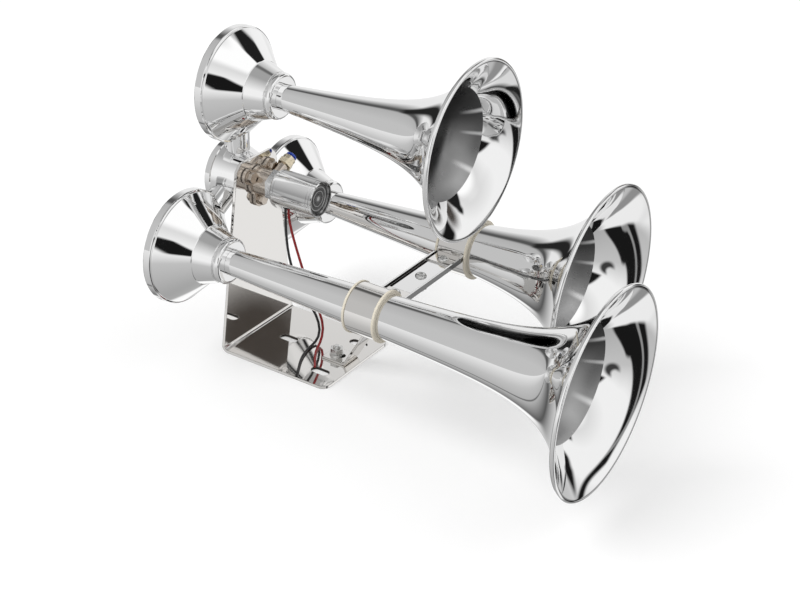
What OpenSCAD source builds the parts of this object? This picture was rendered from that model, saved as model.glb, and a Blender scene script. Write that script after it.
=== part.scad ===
// Triple air horn: three flared trumpets on rear housings, fed by one manifold through a solenoid valve.
// X runs forward along the trumpets, Y to the right-hand trumpet, Z up from the underside of the base.
// Distances along X are measured from the housings' back plane, and the origin lies in the middle of the base.

/* [Layout] */
// Height of the manifold axis above the underside of the base
hub_height = 143; // [138:1:160]
// Distance from the manifold axis to the axis of each trumpet
arm_reach = 79; // [77:0.5:86]
// Back plane of the housings to the rim of the top trumpet
top_length = 229.5; // [215:0.5:250]
// Back plane of the housings to the rim of the left trumpet
left_length = 384; // [350:1:420]
// Back plane of the housings to the rim of the right trumpet
right_length = 313; // [290:1:345]

/* [Trumpets] */
// Outer radius of the tube where it enters the housing
tube_r = 10.6; // [10:0.1:11.4]
// Thickness of the spun sheet
trumpet_wall = 1.2; // [0.9:0.1:1.8]
// Length over which the flare grows by a factor e
flare_length = 30; // [26:1:34]
// Rim radius of the top trumpet
top_bell_r = 70.4; // [62:0.2:76]
// Rim radius of the left trumpet
left_bell_r = 80.5; // [72:0.5:86]
// Rim radius of the right trumpet
right_bell_r = 85.3; // [76:0.1:88]
// Radius that the straight cone of the top trumpet would have at its rim
top_cone_r = 24; // [22:0.5:26]
// Radius that the straight cone of the left trumpet would have at its rim
left_cone_r = 25.5; // [23:0.5:27]
// Radius that the straight cone of the right trumpet would have at its rim
right_cone_r = 28; // [25:0.5:29]
// Section radius of the rolled rim
rim_roll_r = 1.9; // [1.5:0.1:2.4]
// Depth of the tube in its socket
socket_depth = 18; // [14:0.5:20]

/* [Rear housings] */
// Radius of the rear cap
cap_r = 48; // [46:0.5:50]
// Thickness of the rear cap, which is the flat rim band
cap_t = 7; // [6:0.25:8]
// Radius at the large end of the cone
cone_r = 46.2; // [45.2:0.1:46.8]
// Radius at the ring where cone and collar meet
neck_ring_r = 25; // [23:0.25:27]
// Distance from the back plane to that ring
neck_ring_x = 30; // [28:0.25:32]
// Radius of the collar behind the bead
collar_r = 19.2; // [18:0.1:20.5]
// Distance from the back plane to the front face of the bead
housing_length = 52; // [50:0.5:56]
// Section radius of the bead round the tube
bead_r = 3.4; // [2.8:0.1:3.8]
// Wall of the cone, measured square to the axis
cone_wall = 4.2; // [3.5:0.1:5]
// Bore of the throat nozzle
nozzle_bore_r = 6.5; // [5.5:0.1:7]
// Wall of the throat nozzle
nozzle_wall = 3; // [2:0.1:3.5]
// Radius of the diaphragm
diaphragm_r = 36; // [34:0.25:36.5]
// Thickness of the diaphragm
diaphragm_t = 0.4; // [0.3:0.05:0.6]
// Width of the clamped ring of the diaphragm
clamp_ring_w = 5; // [4:0.25:6]
// Thickness of the diaphragm gasket
gasket_t = 0.8; // [0.6:0.1:1.2]
// Pitch radius of the cap screws
cap_screw_pitch_r = 39.6; // [39.2:0.1:40]
// Shank radius of the cap screws
cap_screw_r = 1.6; // [1.4:0.1:1.8]

/* [Manifold] */
// Radius of the rim band of the manifold
hub_rim_r = 28.5; // [28:0.25:31]
// Radius of the front face of the manifold
hub_front_r = 21; // [20.5:0.25:23]
// Distance of the manifold's rear face behind the housings' back plane
hub_back = 9; // [8.6:0.1:11]
// Width of the rim band
hub_rim_w = 6; // [5:0.25:7]
// Radius of the air chamber
hub_chamber_r = 12.5; // [11:0.25:12.8]
// Outer radius of the inlet necks
neck_r = 10.8; // [10.2:0.1:11.2]
// Bore of the inlet necks
neck_bore_r = 5; // [4:0.1:5.5]
// Distance from the housings' back plane to the neck axis
neck_x = 3.5; // [3:0.1:4]
// Radius round the manifold axis at which the necks seat
neck_seat_r = 22.5; // [21.5:0.25:23.5]

/* [Bracket] */
// Thickness of the bracket sheet
sheet_t = 2.5; // [2:0.1:3]
// Distance from the housings' back plane to the upright plate
bracket_x = 21.5; // [21.2:0.1:24]
// Length of the base along X
base_length = 107; // [104:1:125]
// Width of the base
base_width = 95; // [88:1:96]
// Width of the upright plate just below its top corners
plate_top_width = 52; // [48:1:56]
// Height of the upright plate above the manifold axis
plate_over = 21; // [20:0.5:24]
// Chamfer of the plate's top corners
plate_chamfer = 6; // [3:0.5:8]
// Inner bend radius of the bracket
bend_r = 3; // [2:0.5:5]
// Corner radius of the base
base_corner_r = 8; // [4:0.5:12]
// Width of the mounting slots
slot_w = 8.5; // [6.5:0.5:9]
// End to end length of the mounting slots
slot_l = 17; // [14:0.5:19]
// Spacing of the two front slots
slot_spacing = 56; // [50:1:60]
// Distance from the front edge of the base to the centre of the front slots
slot_inset = 19; // [14:0.5:22]
// Distance from the upright plate to the centre of the rear slot
rear_slot_x = 35; // [28:0.5:42]

/* [Valve] */
// Thickness of the valve flange
flange_t = 2.6; // [2.4:0.1:3.5]
// Thickness of the valve gasket
valve_gasket_t = 0.8; // [0.5:0.1:1.5]
// Radius of the valve body
valve_r = 11.5; // [11:0.1:12]
// Radius of the valve seat orifice
orifice_r = 2.2; // [1.5:0.1:2.6]
// Radius of the plunger
plunger_r = 5.4; // [5:0.1:5.8]
// Length of the plunger
plunger_length = 26; // [22:0.5:28]
// Travel of the plunger
plunger_travel = 2; // [1.2:0.1:2.5]
// Radius of the coil cover
coil_cover_r = 15; // [14.5:0.25:17]
// Length of the coil cover
coil_cover_length = 41.5; // [40:0.5:48]
// Thickness of the coil cover
coil_cover_wall = 1.3; // [1:0.1:1.6]
// Depth of the recess in front of the end cap
end_recess = 2.6; // [2:0.1:3.4]
// Distance from the coil cover's back to the lead grommet
grommet_x = 7.5; // [7:0.25:10]
// Angle of the air inlet above the horizontal
inlet_angle = 24; // [20:0.5:28]
// Radius of the inlet boss on the valve body
inlet_boss_r = 4.5; // [4.4:0.1:6]
// Distance from the valve axis to the face of the inlet boss
inlet_reach = 21.4; // [21.2:0.1:24]

/* [Push-in fitting] */
// Radius of the bore that takes the tube
tube_bore_r = 3.25; // [3.05:0.05:3.3]
// Length of the hexagon
fitting_hex_l = 5; // [4.5:0.5:8]
// Width across the flats of the hexagon
fitting_hex_af = 11.5; // [11:0.25:12.5]
// Length of the round barrel
barrel_l = 4.5; // [4:0.5:7]
// Travel of the release collet
collet_travel = 1; // [0.6:0.1:1.5]

/* [Cross bar and clamps] */
// Distance from the housings' back plane to the middle of the cross bar
bar_x = 186; // [176:1:196]
// Width of the cross bar and of the clamp bands
bar_width = 25; // [20:0.5:28]
// Thickness of the cross bar
bar_t = 2; // [1.5:0.1:2.5]
// Height of the cross bar's lips above its web
lip_h = 2.5; // [2:0.25:6]
// Thickness of the clamp bands
band_t = 1.2; // [1:0.1:1.6]
// Thickness of the rubber liner at its front edge
liner_t = 1.6; // [1.4:0.1:3]
// Distance that the liner stands out of the band at each edge
liner_edge = 2; // [1.4:0.1:3]
// Distance from the band to the middle of its clamp bolt
clamp_bolt_offset = 11; // [9:0.5:14]

/* [Brace] */
// Width of the brace
brace_width = 20; // [14:0.5:22]
// Thickness of the brace
brace_t = 2; // [1.5:0.1:2.5]
// Distance from the front edge of the base to the bend of the brace
brace_inset = 8; // [5:0.5:12]
// Length of the foot of the brace
foot_length = 22; // [20:0.5:26]
// Bend radius of the brace at the middle of its sheet
brace_bend_r = 4; // [2:0.5:6]
// Distance from the bend of the brace to its stud
stud_inset = 14; // [12:0.5:15]

/* [Fits] */
// Radial clearance of screws, spigots and seals in their holes
clearance = 0.1; // [0.05:0.01:0.2]
// Radial clearance of the plunger and of the collet
slide_clearance = 0.1; // [0.06:0.01:0.2]
// Clearance hole over screw radius
hole_clearance = 0.3; // [0.2:0.05:0.4]

/* [Hidden] */
$fn = 96;

// Overrun of cutting shapes
cut = 1;

// Distance from the housings' back plane to the origin
origin_x = 75;

// The three horns: name, angle of the horn round the manifold, length, rim radius, cone radius
TOP = [90, top_length, top_bell_r, top_cone_r];
LEFT = [210, left_length, left_bell_r, left_cone_r];
RIGHT = [330, right_length, right_bell_r, right_cone_r];
HORNS = [TOP, LEFT, RIGHT];

function horn_y(horn) = arm_reach * cos(horn[0]);
function horn_z(horn) = hub_height + arm_reach * sin(horn[0]);

// Outer radius of a trumpet at x: a straight cone plus an exponential flare, both from zero at the housing
function rim_x(horn) = horn[1] - rim_roll_r;
function cone_slope(horn) = (horn[3] - tube_r) / (rim_x(horn) - housing_length);
function growth(horn, x) = exp((x - rim_x(horn)) / flare_length);
function flare_gain(horn) = (horn[2] - rim_roll_r - horn[3]) / (1 - growth(horn, housing_length));
function trumpet_r(horn, x) =
    tube_r + cone_slope(horn) * (x - housing_length)
    + flare_gain(horn) * (growth(horn, x) - growth(horn, housing_length));
function trumpet_slope(horn, x) = cone_slope(horn) + flare_gain(horn) / flare_length * growth(horn, x);

// Stations along a trumpet: even along the cone, closer together in the flare
cone_steps = 9;
flare_steps = 15;
flare_reach = 3.2 * flare_length;
function stations(horn) = let (x1 = rim_x(horn) - flare_reach) concat(
    [for (i = [0 : cone_steps - 1]) housing_length + (x1 - housing_length) * i / cone_steps],
    [for (i = [0 : flare_steps]) x1 + flare_reach * (1 - pow(1 - i / flare_steps, 1.6))]
);
function outer_point(horn, x) = [x, trumpet_r(horn, x)];
function inner_point(horn, x) = let (s = trumpet_slope(horn, x), q = sqrt(1 + s * s))
    [x + trumpet_wall * s / q, trumpet_r(horn, x) - trumpet_wall / q];

// Housing along X
socket_x = housing_length - socket_depth;
cone_x = cap_t + gasket_t + diaphragm_t;
cone_drop = (cone_r - neck_ring_r) / (neck_ring_x - cone_x);
chamber_end_x = neck_ring_x - 4;
bead_x = housing_length - bead_r;
bead_centre_r = collar_r - bead_r;
port_r = 2.4;
port_x = cone_x + port_r + 0.4;
pocket_r = 3;
pocket_reach = cap_r + 5;
nozzle_r = nozzle_bore_r + nozzle_wall;
seat_lip_r = diaphragm_r - clamp_ring_w;
cap_recess_t = 3.2;
cap_screw_head_r = 3.6;
cap_screw_length = 11;
cap_screw_count = 6;
cap_socket_r = 1.15;

// Manifold along X
hub_rim_x = hub_rim_w - hub_back;
cover_r = 20;
cover_t = 3;
cover_x = cover_t - hub_back;
cover_screw_pitch_r = 17.2;
cover_screw_r = 1.4;
cover_screw_head_r = 2.6;
cover_socket_r = 0.85;
seal_ring_r = 14.3;
seal_section_r = 0.7;
spigot_r = 7.4;
spigot_end_r = 15;
neck_seal_r = 0.9;
neck_seal_at = (neck_seat_r + spigot_end_r) / 2;
hub_port_r = 5;
hub_port_seat = 8;
hub_port_x = bracket_x - hub_port_seat;
valve_spigot_r = 7.8;
valve_spigot_l = 3;
bolt_angles = [30, 150, 270];
m5_r = 2.5;
m5_head_af = 8;
m5_head_h = 3.5;
m5_nut_h = 4;
m5_washer_r = 4.8;
m5_washer_t = 1;
bolt_depth = 12;
bolt_pitch_r = valve_r + m5_washer_r + 0.2;

// Valve along X
plate_front_x = bracket_x + sheet_t;
flange_x = plate_front_x + valve_gasket_t;
body_x = flange_x + flange_t;
boss_gap = 0.2;
inlet_x = body_x + m5_washer_t + m5_head_h + boss_gap + inlet_boss_r;
nut_x = inlet_x + inlet_boss_r + boss_gap;
thread_l = 3;
thread_r = 10;
core_flange_x = nut_x + thread_l;
core_flange_t = 1.5;
union_nut_l = 6;
union_nut_af = 24;
coil_x = nut_x + union_nut_l;
coil_end_x = coil_x + coil_cover_length;
end_cap_t = 1.6;
end_groove_r = 9.5;
end_groove_w = 4.3;
end_groove_depth = 0.5;
end_cap_x = coil_end_x - end_recess - end_cap_t;
seat_x = inlet_x - 1.5;
chamber_x = inlet_x - 3.8;
chamber_r = 8;
boss_root = chamber_r + 1.5;
seat_r = 4.2;
seal_gap = 0.2;
seal_t = 2.4;
seal_r = 3.6;
plunger_x = seat_x + seal_gap + 0.6;
plunger_end_x = plunger_x + plunger_length;
stop_gap = 0.2;
core_x = plunger_end_x + plunger_travel + stop_gap;
core_bore_r = plunger_r + slide_clearance;
core_wall = 0.7;
core_tube_r = core_bore_r + core_wall;
core_tube_end_x = end_cap_x - 0.5;
spring_r = 2.6;
spring_wire_r = 0.35;
spring_pocket_l = 8;
spring_seat_l = 2;
spring_turns = 7;
bobbin_wall = 1;
winding_gap = 0.05;
bobbin_r = coil_cover_r - coil_cover_wall - 0.3;
bobbin_x = coil_x + coil_cover_wall + 0.2;
bobbin_end_x = end_cap_x - 0.2;
grommet_r = 3.4;
grommet_neck_r = 2.6;
grommet_flange_t = 1.6;
lead_x = coil_x + grommet_x;
grommet_face_z = hub_height - coil_cover_r - grommet_flange_t;

// Push-in fitting along its own axis, measured from the valve axis
fitting_thread_r = 3.2;
fitting_thread_l = 8;
barrel_r = 5.5;
hex_end = inlet_reach + fitting_hex_l;
barrel_end = hex_end + barrel_l;
collet_flange_t = 1.7;
collet_flange_r = 4.7;
collet_gap = collet_travel + 0.3;
collet_wall = 0.75;
collet_r = tube_bore_r + 0.1 + collet_wall;
collet_bore_r = tube_bore_r + 0.1;
collet_l = 4.5;
seal_stack_l = 2;
tube_seat_l = 2;
seal_x = barrel_end + collet_gap - collet_l - seal_stack_l - collet_travel - 0.4;
tube_stop = seal_x - tube_seat_l;

// Cross bar, clamps and brace
bar_z = hub_height + arm_reach * sin(LEFT[0]);
bar_front_x = bar_x + bar_width / 2;
bar_back_x = bar_x - bar_width / 2;
lip_t = 1.5;
function band_inner_r(horn) = trumpet_r(horn, bar_front_x) + liner_t;
function band_outer_r(horn) = band_inner_r(horn) + band_t;
band_gap = 1.5;
tail_width = bar_width - 2 * lip_t - 1;
tail_end = clamp_bolt_offset + 7;
function bar_end_y(horn) = abs(horn_y(horn)) - band_outer_r(horn) - band_gap;
function clamp_bolt_y(horn) = horn_y(horn) > 0
    ? horn_y(horn) - band_outer_r(horn) - clamp_bolt_offset
    : horn_y(horn) + band_outer_r(horn) + clamp_bolt_offset;
m6_r = 3;
m6_head_af = 10;
m6_nut_h = 5;
m6_washer_r = 6;
m6_washer_t = 1.2;
brace_bend_x = bracket_x + base_length - brace_inset;
brace_foot_z = sheet_t + brace_t / 2;
brace_top_z = bar_z - bar_t / 2 - brace_t / 2;
brace_lap = 12;
brace_top_x = bar_x - brace_lap;
brace_end_x = bar_front_x - 2;
stud_x = brace_bend_x - stud_inset;
stud_top = 13;
foot_slot_l = 12;

// Local X axis to a turned profile of [x, radius] points
module turned(points) {
    rotate([0, 90, 0]) rotate_extrude() polygon([for (p = points) [p[1], p[0]]]);
}

// A rod along X
module rod_x(r, x0, x1) {
    translate([x0, 0, 0]) rotate([0, 90, 0]) cylinder(r = r, h = x1 - x0);
}

// Local Z turned to the direction at an angle from +Y, in the plane at x
module radial(x, angle) {
    translate([x, 0, 0]) rotate([angle - 90, 0, 0]) children();
}

// Frame with its X axis on a horn's axis
module at_horn(horn) {
    translate([-origin_x, horn_y(horn), horn_z(horn)]) children();
}

// Frame with its X axis on the manifold axis
module at_hub() {
    translate([-origin_x, 0, hub_height]) children();
}

// Frame with X measured from the housings' back plane and Z from the underside of the base
module at_base() {
    translate([-origin_x, 0, 0]) children();
}

// A straight slot along X, cut along Z
module slot_x(width, length, height) {
    for (side = [-1, 1])
        translate([side * (length - width) / 2, 0, 0]) cylinder(d = width, h = height);
    translate([-(length - width) / 2, -width / 2, 0]) cube([length - width, width, height]);
}

// Hexagon prism along Z, across flats af, with one chamfered face
module hexagon(af, height) {
    intersection() {
        cylinder(r = af / 2 / cos(30), h = height, $fn = 6);
        cylinder(r1 = af / 2 / cos(30) + height, r2 = af / 2, h = height + af / 2 / cos(30) - af / 2 + 0.6);
    }
}

// Housing: cap side, cone, neck ring, collar, groove and bead
bead_steps = 10;
function housing_outline() = concat(
    [[cap_t, 0], [cap_t, cone_r], [cone_x, cone_r], [neck_ring_x, neck_ring_r],
     [neck_ring_x + 0.3, neck_ring_r - 0.5], [bead_x - bead_r + 0.3, collar_r - 0.1],
     [bead_x - bead_r + 0.3, collar_r - 1.2]],
    [for (i = [0 : bead_steps]) let (a = 150 - 150 * i / bead_steps)
        [bead_x + bead_r * cos(a), bead_centre_r + bead_r * sin(a)]],
    [[housing_length, 0]]
);

module housing_cavity() {
    turned([[cap_t - cut, 0], [cap_t - cut, diaphragm_r + 2 * clearance],
        [cone_x, diaphragm_r + 2 * clearance], [cone_x, seat_lip_r],
        [cone_x + (cone_r - cone_wall - seat_lip_r) / cone_drop, seat_lip_r],
        [chamber_end_x, cone_r - cone_wall - cone_drop * (chamber_end_x - cone_x)],
        [chamber_end_x, 0]]);
}

module throat_nozzle() {
    rod_x(nozzle_r, cap_t + diaphragm_t, chamber_end_x + cut);
}

module neck() {
    radial(neck_x, 0) difference() {
        union() {
            translate([0, 0, cone_r - 8]) cylinder(r = neck_r, h = arm_reach - neck_seat_r - cone_r + 8);
            translate([0, 0, pocket_reach])
                cylinder(r = spigot_r, h = arm_reach - spigot_end_r - pocket_reach);
        }
        translate([0, 0, arm_reach - neck_seal_at]) rotate_extrude()
            translate([spigot_r - 2 * neck_seal_r + clearance, -neck_seal_r - clearance])
                square([4 * neck_seal_r, 2 * neck_seal_r + 2 * clearance]);
    }
}

// Air way: along the neck, forward in a pocket outside the cap, then inward to the chamber
module air_passage() {
    radial(neck_x, 0) translate([0, 0, pocket_reach]) cylinder(r = neck_bore_r, h = arm_reach - pocket_reach);
    translate([0, pocket_reach + pocket_r, 0]) rod_x(pocket_r, neck_x, port_x + port_r);
    radial(port_x, 0) translate([0, 0, seat_lip_r - 2])
        cylinder(r = port_r, h = pocket_reach - seat_lip_r + 4);
}

// Housings and caps are alike on all three horns and only turned, so that each neck meets the manifold
module at_neck(horn) {
    at_horn(horn) rotate([horn[0] + 180, 0, 0]) children();
}

module horn_housing(horn) {
    color([0.82, 0.83, 0.85]) at_neck(horn) difference() {
        union() {
            difference() {
                union() {
                    turned(housing_outline());
                    neck();
                }
                housing_cavity();
                rod_x(cap_r + clearance, -cap_r, cap_t);
            }
            throat_nozzle();
        }
        rod_x(nozzle_bore_r, 0, housing_length);
        rod_x(tube_r + clearance, socket_x, housing_length + cut);
        air_passage();
        cap_screw_ring() rod_x(cap_screw_r + clearance / 2, cap_t - cut, cap_screw_length + cut);
    }
}

// Places on the cap's screw circle, the first one midway off the neck's air port
module cap_screw_ring() {
    pitch = 360 / cap_screw_count;
    for (i = [0 : cap_screw_count - 1])
        rotate([pitch * (i + 0.5), 0, 0]) translate([0, cap_screw_pitch_r, 0]) children();
}

module countersunk_screw(r, head_r, length, socket_r) {
    difference() {
        turned([[0, 0], [0, head_r], [head_r - r, r], [length, r], [length, 0]]);
        translate([-cut, 0, 0]) rotate([0, 90, 0]) cylinder(r = socket_r, h = cut + head_r - r, $fn = 6);
    }
}

module countersink(r, head_r, length) {
    turned([[-cut, 0], [-cut, head_r + clearance], [0, head_r + clearance],
        [head_r - r, r + clearance], [length, r + clearance], [length, 0]]);
}

module cap_screws() {
    color([0.55, 0.56, 0.58]) for (horn = HORNS)
        at_neck(horn) cap_screw_ring()
            countersunk_screw(cap_screw_r, cap_screw_head_r, cap_screw_length, cap_socket_r);
}

// Rear cap with a softened rim, a shallow recess outside and the air space behind the diaphragm inside
rim_soft = 0.8;
module rear_cap(horn) {
    color([0.84, 0.85, 0.87]) at_neck(horn) difference() {
        turned([[0.6, 0], [0.6, seat_lip_r - 2], [0, seat_lip_r], [0, cap_r - rim_soft],
            [rim_soft * 0.3, cap_r - rim_soft * 0.3], [rim_soft, cap_r], [cap_t - rim_soft, cap_r],
            [cap_t - rim_soft * 0.3, cap_r - rim_soft * 0.3], [cap_t, cap_r - rim_soft],
            [cap_t, seat_lip_r], [cap_recess_t, seat_lip_r - 3], [cap_recess_t, 0]]);
        cap_screw_ring() countersink(cap_screw_r, cap_screw_head_r, cap_t + cut);
    }
}

// Thin disc with one shallow wave between its clamped ring and its flat middle
wave_h = 0.35;
module diaphragm(horn) {
    color([0.70, 0.68, 0.62]) at_horn(horn) turned([
        [cap_t, 0], [cap_t, nozzle_r + 4], [cap_t - wave_h, nozzle_r + 8], [cap_t - wave_h, seat_lip_r - 5],
        [cap_t, seat_lip_r - 1], [cap_t, diaphragm_r], [cap_t + diaphragm_t, diaphragm_r],
        [cap_t + diaphragm_t, seat_lip_r - 1], [cap_t + diaphragm_t - wave_h, seat_lip_r - 5],
        [cap_t + diaphragm_t - wave_h, nozzle_r + 8], [cap_t + diaphragm_t, nozzle_r + 4],
        [cap_t + diaphragm_t, 0]]);
}

module diaphragm_gasket(horn) {
    color([0.12, 0.12, 0.12]) at_horn(horn) difference() {
        rod_x(diaphragm_r, cap_t + diaphragm_t, cone_x);
        rod_x(seat_lip_r, cap_t, cone_x + cut);
    }
}

// Spun tube: straight in its socket, a slow cone, then the flare and the rolled rim
module trumpet(horn) {
    x = stations(horn);
    last = len(x) - 1;
    color([0.86, 0.87, 0.89]) at_horn(horn) union() {
        turned(concat(
            [[socket_x + clearance, tube_r - trumpet_wall], [socket_x + clearance, tube_r]],
            [for (i = [0 : last]) outer_point(horn, x[i])],
            [for (i = [last : -1 : 0]) inner_point(horn, x[i])]
        ));
        rotate([0, 90, 0]) rotate_extrude()
            translate([horn[2] - rim_roll_r, rim_x(horn)]) circle(r = rim_roll_r, $fn = 32);
    }
}

module manifold() {
    color([0.82, 0.83, 0.85]) at_hub() difference() {
        turned([[-hub_back, 0], [-hub_back, hub_rim_r - rim_soft], [rim_soft - hub_back, hub_rim_r],
            [hub_rim_x - 0.4, hub_rim_r], [hub_rim_x, hub_rim_r - 1],
            [bracket_x - 1.5, hub_front_r], [bracket_x, hub_front_r - 0.6], [bracket_x, 0]]);
        rod_x(cover_r + clearance, -hub_back - cut, cover_x);
        rod_x(hub_chamber_r, -hub_back, hub_port_x);
        rod_x(hub_port_r, 0, bracket_x);
        rod_x(valve_spigot_r + clearance, bracket_x - valve_spigot_l - clearance, bracket_x + cut);
        difference() {
            rod_x(seal_ring_r + seal_section_r, cover_x - cut, cover_x + 2 * seal_section_r);
            rod_x(seal_ring_r - seal_section_r, cover_x - 2 * cut, cover_x + cut + seal_section_r);
        }
        for (horn = HORNS) radial(neck_x, horn[0]) {
            translate([0, 0, neck_seat_r]) cylinder(r = neck_r + clearance, h = hub_rim_r);
            translate([0, 0, hub_chamber_r - 4]) cylinder(r = spigot_r + clearance, h = neck_seat_r);
        }
        for (a = bolt_angles) radial(0, a) translate([0, 0, bolt_pitch_r]) rotate([0, 90, 0])
            translate([0, 0, bracket_x - bolt_depth])
                cylinder(r = m5_r + clearance / 2, h = bolt_depth + cut);
        cover_screw_places() rod_x(cover_screw_r + clearance / 2, -hub_back, cover_x + 6);
    }
}

module cover_screw_places() {
    for (a = bolt_angles) rotate([a, 0, 0]) translate([0, cover_screw_pitch_r, 0]) children();
}

module manifold_cover() {
    color([0.84, 0.85, 0.87]) at_hub() difference() {
        turned([[-hub_back, 0], [-hub_back, cover_r - 0.5], [0.5 - hub_back, cover_r],
            [cover_x, cover_r], [cover_x, 0]]);
        translate([-hub_back, 0, 0]) cover_screw_places()
            countersink(cover_screw_r, cover_screw_head_r, cover_t + cut);
    }
}

module cover_screws() {
    color([0.55, 0.56, 0.58]) at_hub() translate([-hub_back, 0, 0])
        cover_screw_places() countersunk_screw(cover_screw_r, cover_screw_head_r, cover_t + 5, cover_socket_r);
}

module manifold_seal() {
    color([0.12, 0.12, 0.12]) at_hub() rotate([0, 90, 0]) rotate_extrude()
        translate([seal_ring_r, cover_x + seal_section_r]) circle(r = seal_section_r - 0.02, $fn = 32);
}

module neck_seals() {
    color([0.12, 0.12, 0.12]) at_hub() for (horn = HORNS)
        radial(neck_x, horn[0]) translate([0, 0, neck_seal_at]) rotate_extrude()
            translate([spigot_r + clearance - neck_seal_r, 0]) circle(r = neck_seal_r - 0.02, $fn = 32);
}

// One bent sheet: base, bend and tapering upright
module bracket() {
    bend = bend_r + sheet_t;
    half = base_width / 2;
    top = hub_height + plate_over;
    color([0.78, 0.79, 0.80]) at_base() difference() {
        union() {
            base_sheet(bend, half);
            upright(bend, half, top);
            intersection() {
                translate([bracket_x + bend, half, bend]) rotate([90, 0, 0])
                    cylinder(r = bend, h = base_width);
                translate([bracket_x, -half, 0]) cube([bend, base_width, bend]);
            }
        }
        translate([bracket_x + bend, half + cut, bend]) rotate([90, 0, 0])
            cylinder(r = bend_r, h = base_width + 2 * cut);
        translate([bracket_x + base_length - slot_inset, 0, -cut]) for (side = [-1, 1])
            translate([0, side * slot_spacing / 2, 0]) slot_x(slot_w, slot_l, sheet_t + 2 * cut);
        translate([bracket_x + rear_slot_x, 0, -cut]) slot_x(slot_w, slot_l, sheet_t + 2 * cut);
        translate([stud_x, 0, -cut]) cylinder(r = m6_r + clearance, h = sheet_t + 2 * cut);
        translate([stud_x, 0, 0]) cylinder(r1 = m6_r + 1.4 + clearance, r2 = m6_r + clearance, h = 1.4);
        translate([0, 0, hub_height]) {
            rod_x(valve_spigot_r + clearance, bracket_x - cut, plate_front_x + cut);
            for (a = bolt_angles) radial(0, a) translate([0, 0, bolt_pitch_r]) rotate([0, 90, 0])
                translate([0, 0, bracket_x - cut]) cylinder(r = m5_r + hole_clearance, h = sheet_t + 2 * cut);
        }
    }
}

module base_sheet(bend, half) {
    x1 = bracket_x + base_length;
    translate([bracket_x + bend, -half, 0]) cube([base_length - bend - base_corner_r, base_width, sheet_t]);
    translate([bracket_x + bend, base_corner_r - half, 0])
        cube([base_length - bend, base_width - 2 * base_corner_r, sheet_t]);
    for (side = [-1, 1]) translate([x1 - base_corner_r, side * (half - base_corner_r), 0])
        cylinder(r = base_corner_r, h = sheet_t);
}

module upright(bend, half, top) {
    corner = plate_top_width / 2;
    translate([bracket_x, 0, 0]) rotate([90, 0, 90]) linear_extrude(height = sheet_t)
        polygon([[-half, bend], [half, bend], [corner, top - plate_chamfer], [corner - plate_chamfer, top],
            [plate_chamfer - corner, top], [-corner, top - plate_chamfer]]);
}

// Outline of the valve flange: a round centre and three lobes for the bolts
lobe_r = 6.6;
web_r = 13;
module flange_outline(thickness) {
    cylinder(r = web_r, h = thickness);
    for (a = bolt_angles) rotate([0, 0, a - 90]) {
        translate([0, bolt_pitch_r, 0]) cylinder(r = lobe_r, h = thickness);
        translate([-lobe_r, 0, 0]) cube([2 * lobe_r, bolt_pitch_r, thickness]);
    }
}

module on_flange(x) {
    translate([x, 0, 0]) rotate([90, 0, 90]) children();
}

module flange_holes(thickness) {
    for (a = bolt_angles) rotate([0, 0, a - 90]) translate([0, bolt_pitch_r, -cut])
        cylinder(r = m5_r + hole_clearance, h = thickness + 2 * cut);
}

module valve_gasket() {
    color([0.16, 0.16, 0.16]) at_hub() on_flange(plate_front_x) difference() {
        flange_outline(valve_gasket_t);
        flange_holes(valve_gasket_t);
        translate([0, 0, -cut]) cylinder(r = valve_spigot_r + clearance, h = valve_gasket_t + 2 * cut);
    }
}

module valve_body() {
    color([0.73, 0.66, 0.52]) at_hub() difference() {
        union() {
            on_flange(flange_x) flange_outline(flange_t);
            rod_x(valve_spigot_r, bracket_x - valve_spigot_l, flange_x + cut);
            rod_x(valve_r, flange_x, nut_x);
            rod_x(thread_r, flange_x, core_flange_x);
            radial(inlet_x, inlet_angle) translate([0, 0, boss_root])
                cylinder(r = inlet_boss_r, h = inlet_reach - boss_root);
        }
        difference() {
            rod_x(chamber_r, chamber_x, core_flange_x + cut);
            rod_x(seat_r, chamber_x - cut, seat_x);
        }
        rod_x(orifice_r, bracket_x - valve_spigot_l - cut, seat_x + cut);
        on_flange(flange_x) flange_holes(flange_t);
        radial(inlet_x, inlet_angle) {
            translate([0, 0, chamber_r - 2]) cylinder(r = orifice_r, h = inlet_reach);
            translate([0, 0, inlet_reach - fitting_thread_l - 0.5])
                cylinder(r = fitting_thread_r + clearance, h = fitting_thread_l + cut);
        }
    }
}

// Hexagon bolt along X: head from x = 0 forward, shank backward
module hex_bolt_x(r, af, head_h, length) {
    rotate([0, 90, 0]) hexagon(af, head_h);
    rod_x(r, -length, cut);
}

module on_bolts() {
    for (a = bolt_angles) rotate([a, 0, 0]) translate([0, bolt_pitch_r, 0]) children();
}

module manifold_bolts() {
    x0 = body_x + m5_washer_t;
    color([0.72, 0.73, 0.75]) at_hub() on_bolts() translate([x0, 0, 0])
        hex_bolt_x(m5_r, m5_head_af, m5_head_h, x0 - bracket_x + bolt_depth - 1);
}

module manifold_washers() {
    color([0.72, 0.73, 0.75]) at_hub() on_bolts() difference() {
        rod_x(m5_washer_r, body_x, body_x + m5_washer_t);
        rod_x(m5_r + clearance, body_x - cut, body_x + m5_washer_t + cut);
    }
}

module union_nut() {
    color([0.80, 0.81, 0.83]) at_hub() difference() {
        translate([nut_x, 0, 0]) rotate([0, 90, 0]) hexagon(union_nut_af, union_nut_l);
        rod_x(thread_r + clearance, nut_x - cut, core_flange_x + core_flange_t + clearance);
        rod_x(core_tube_r + clearance, nut_x, coil_x + cut);
    }
}

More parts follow.
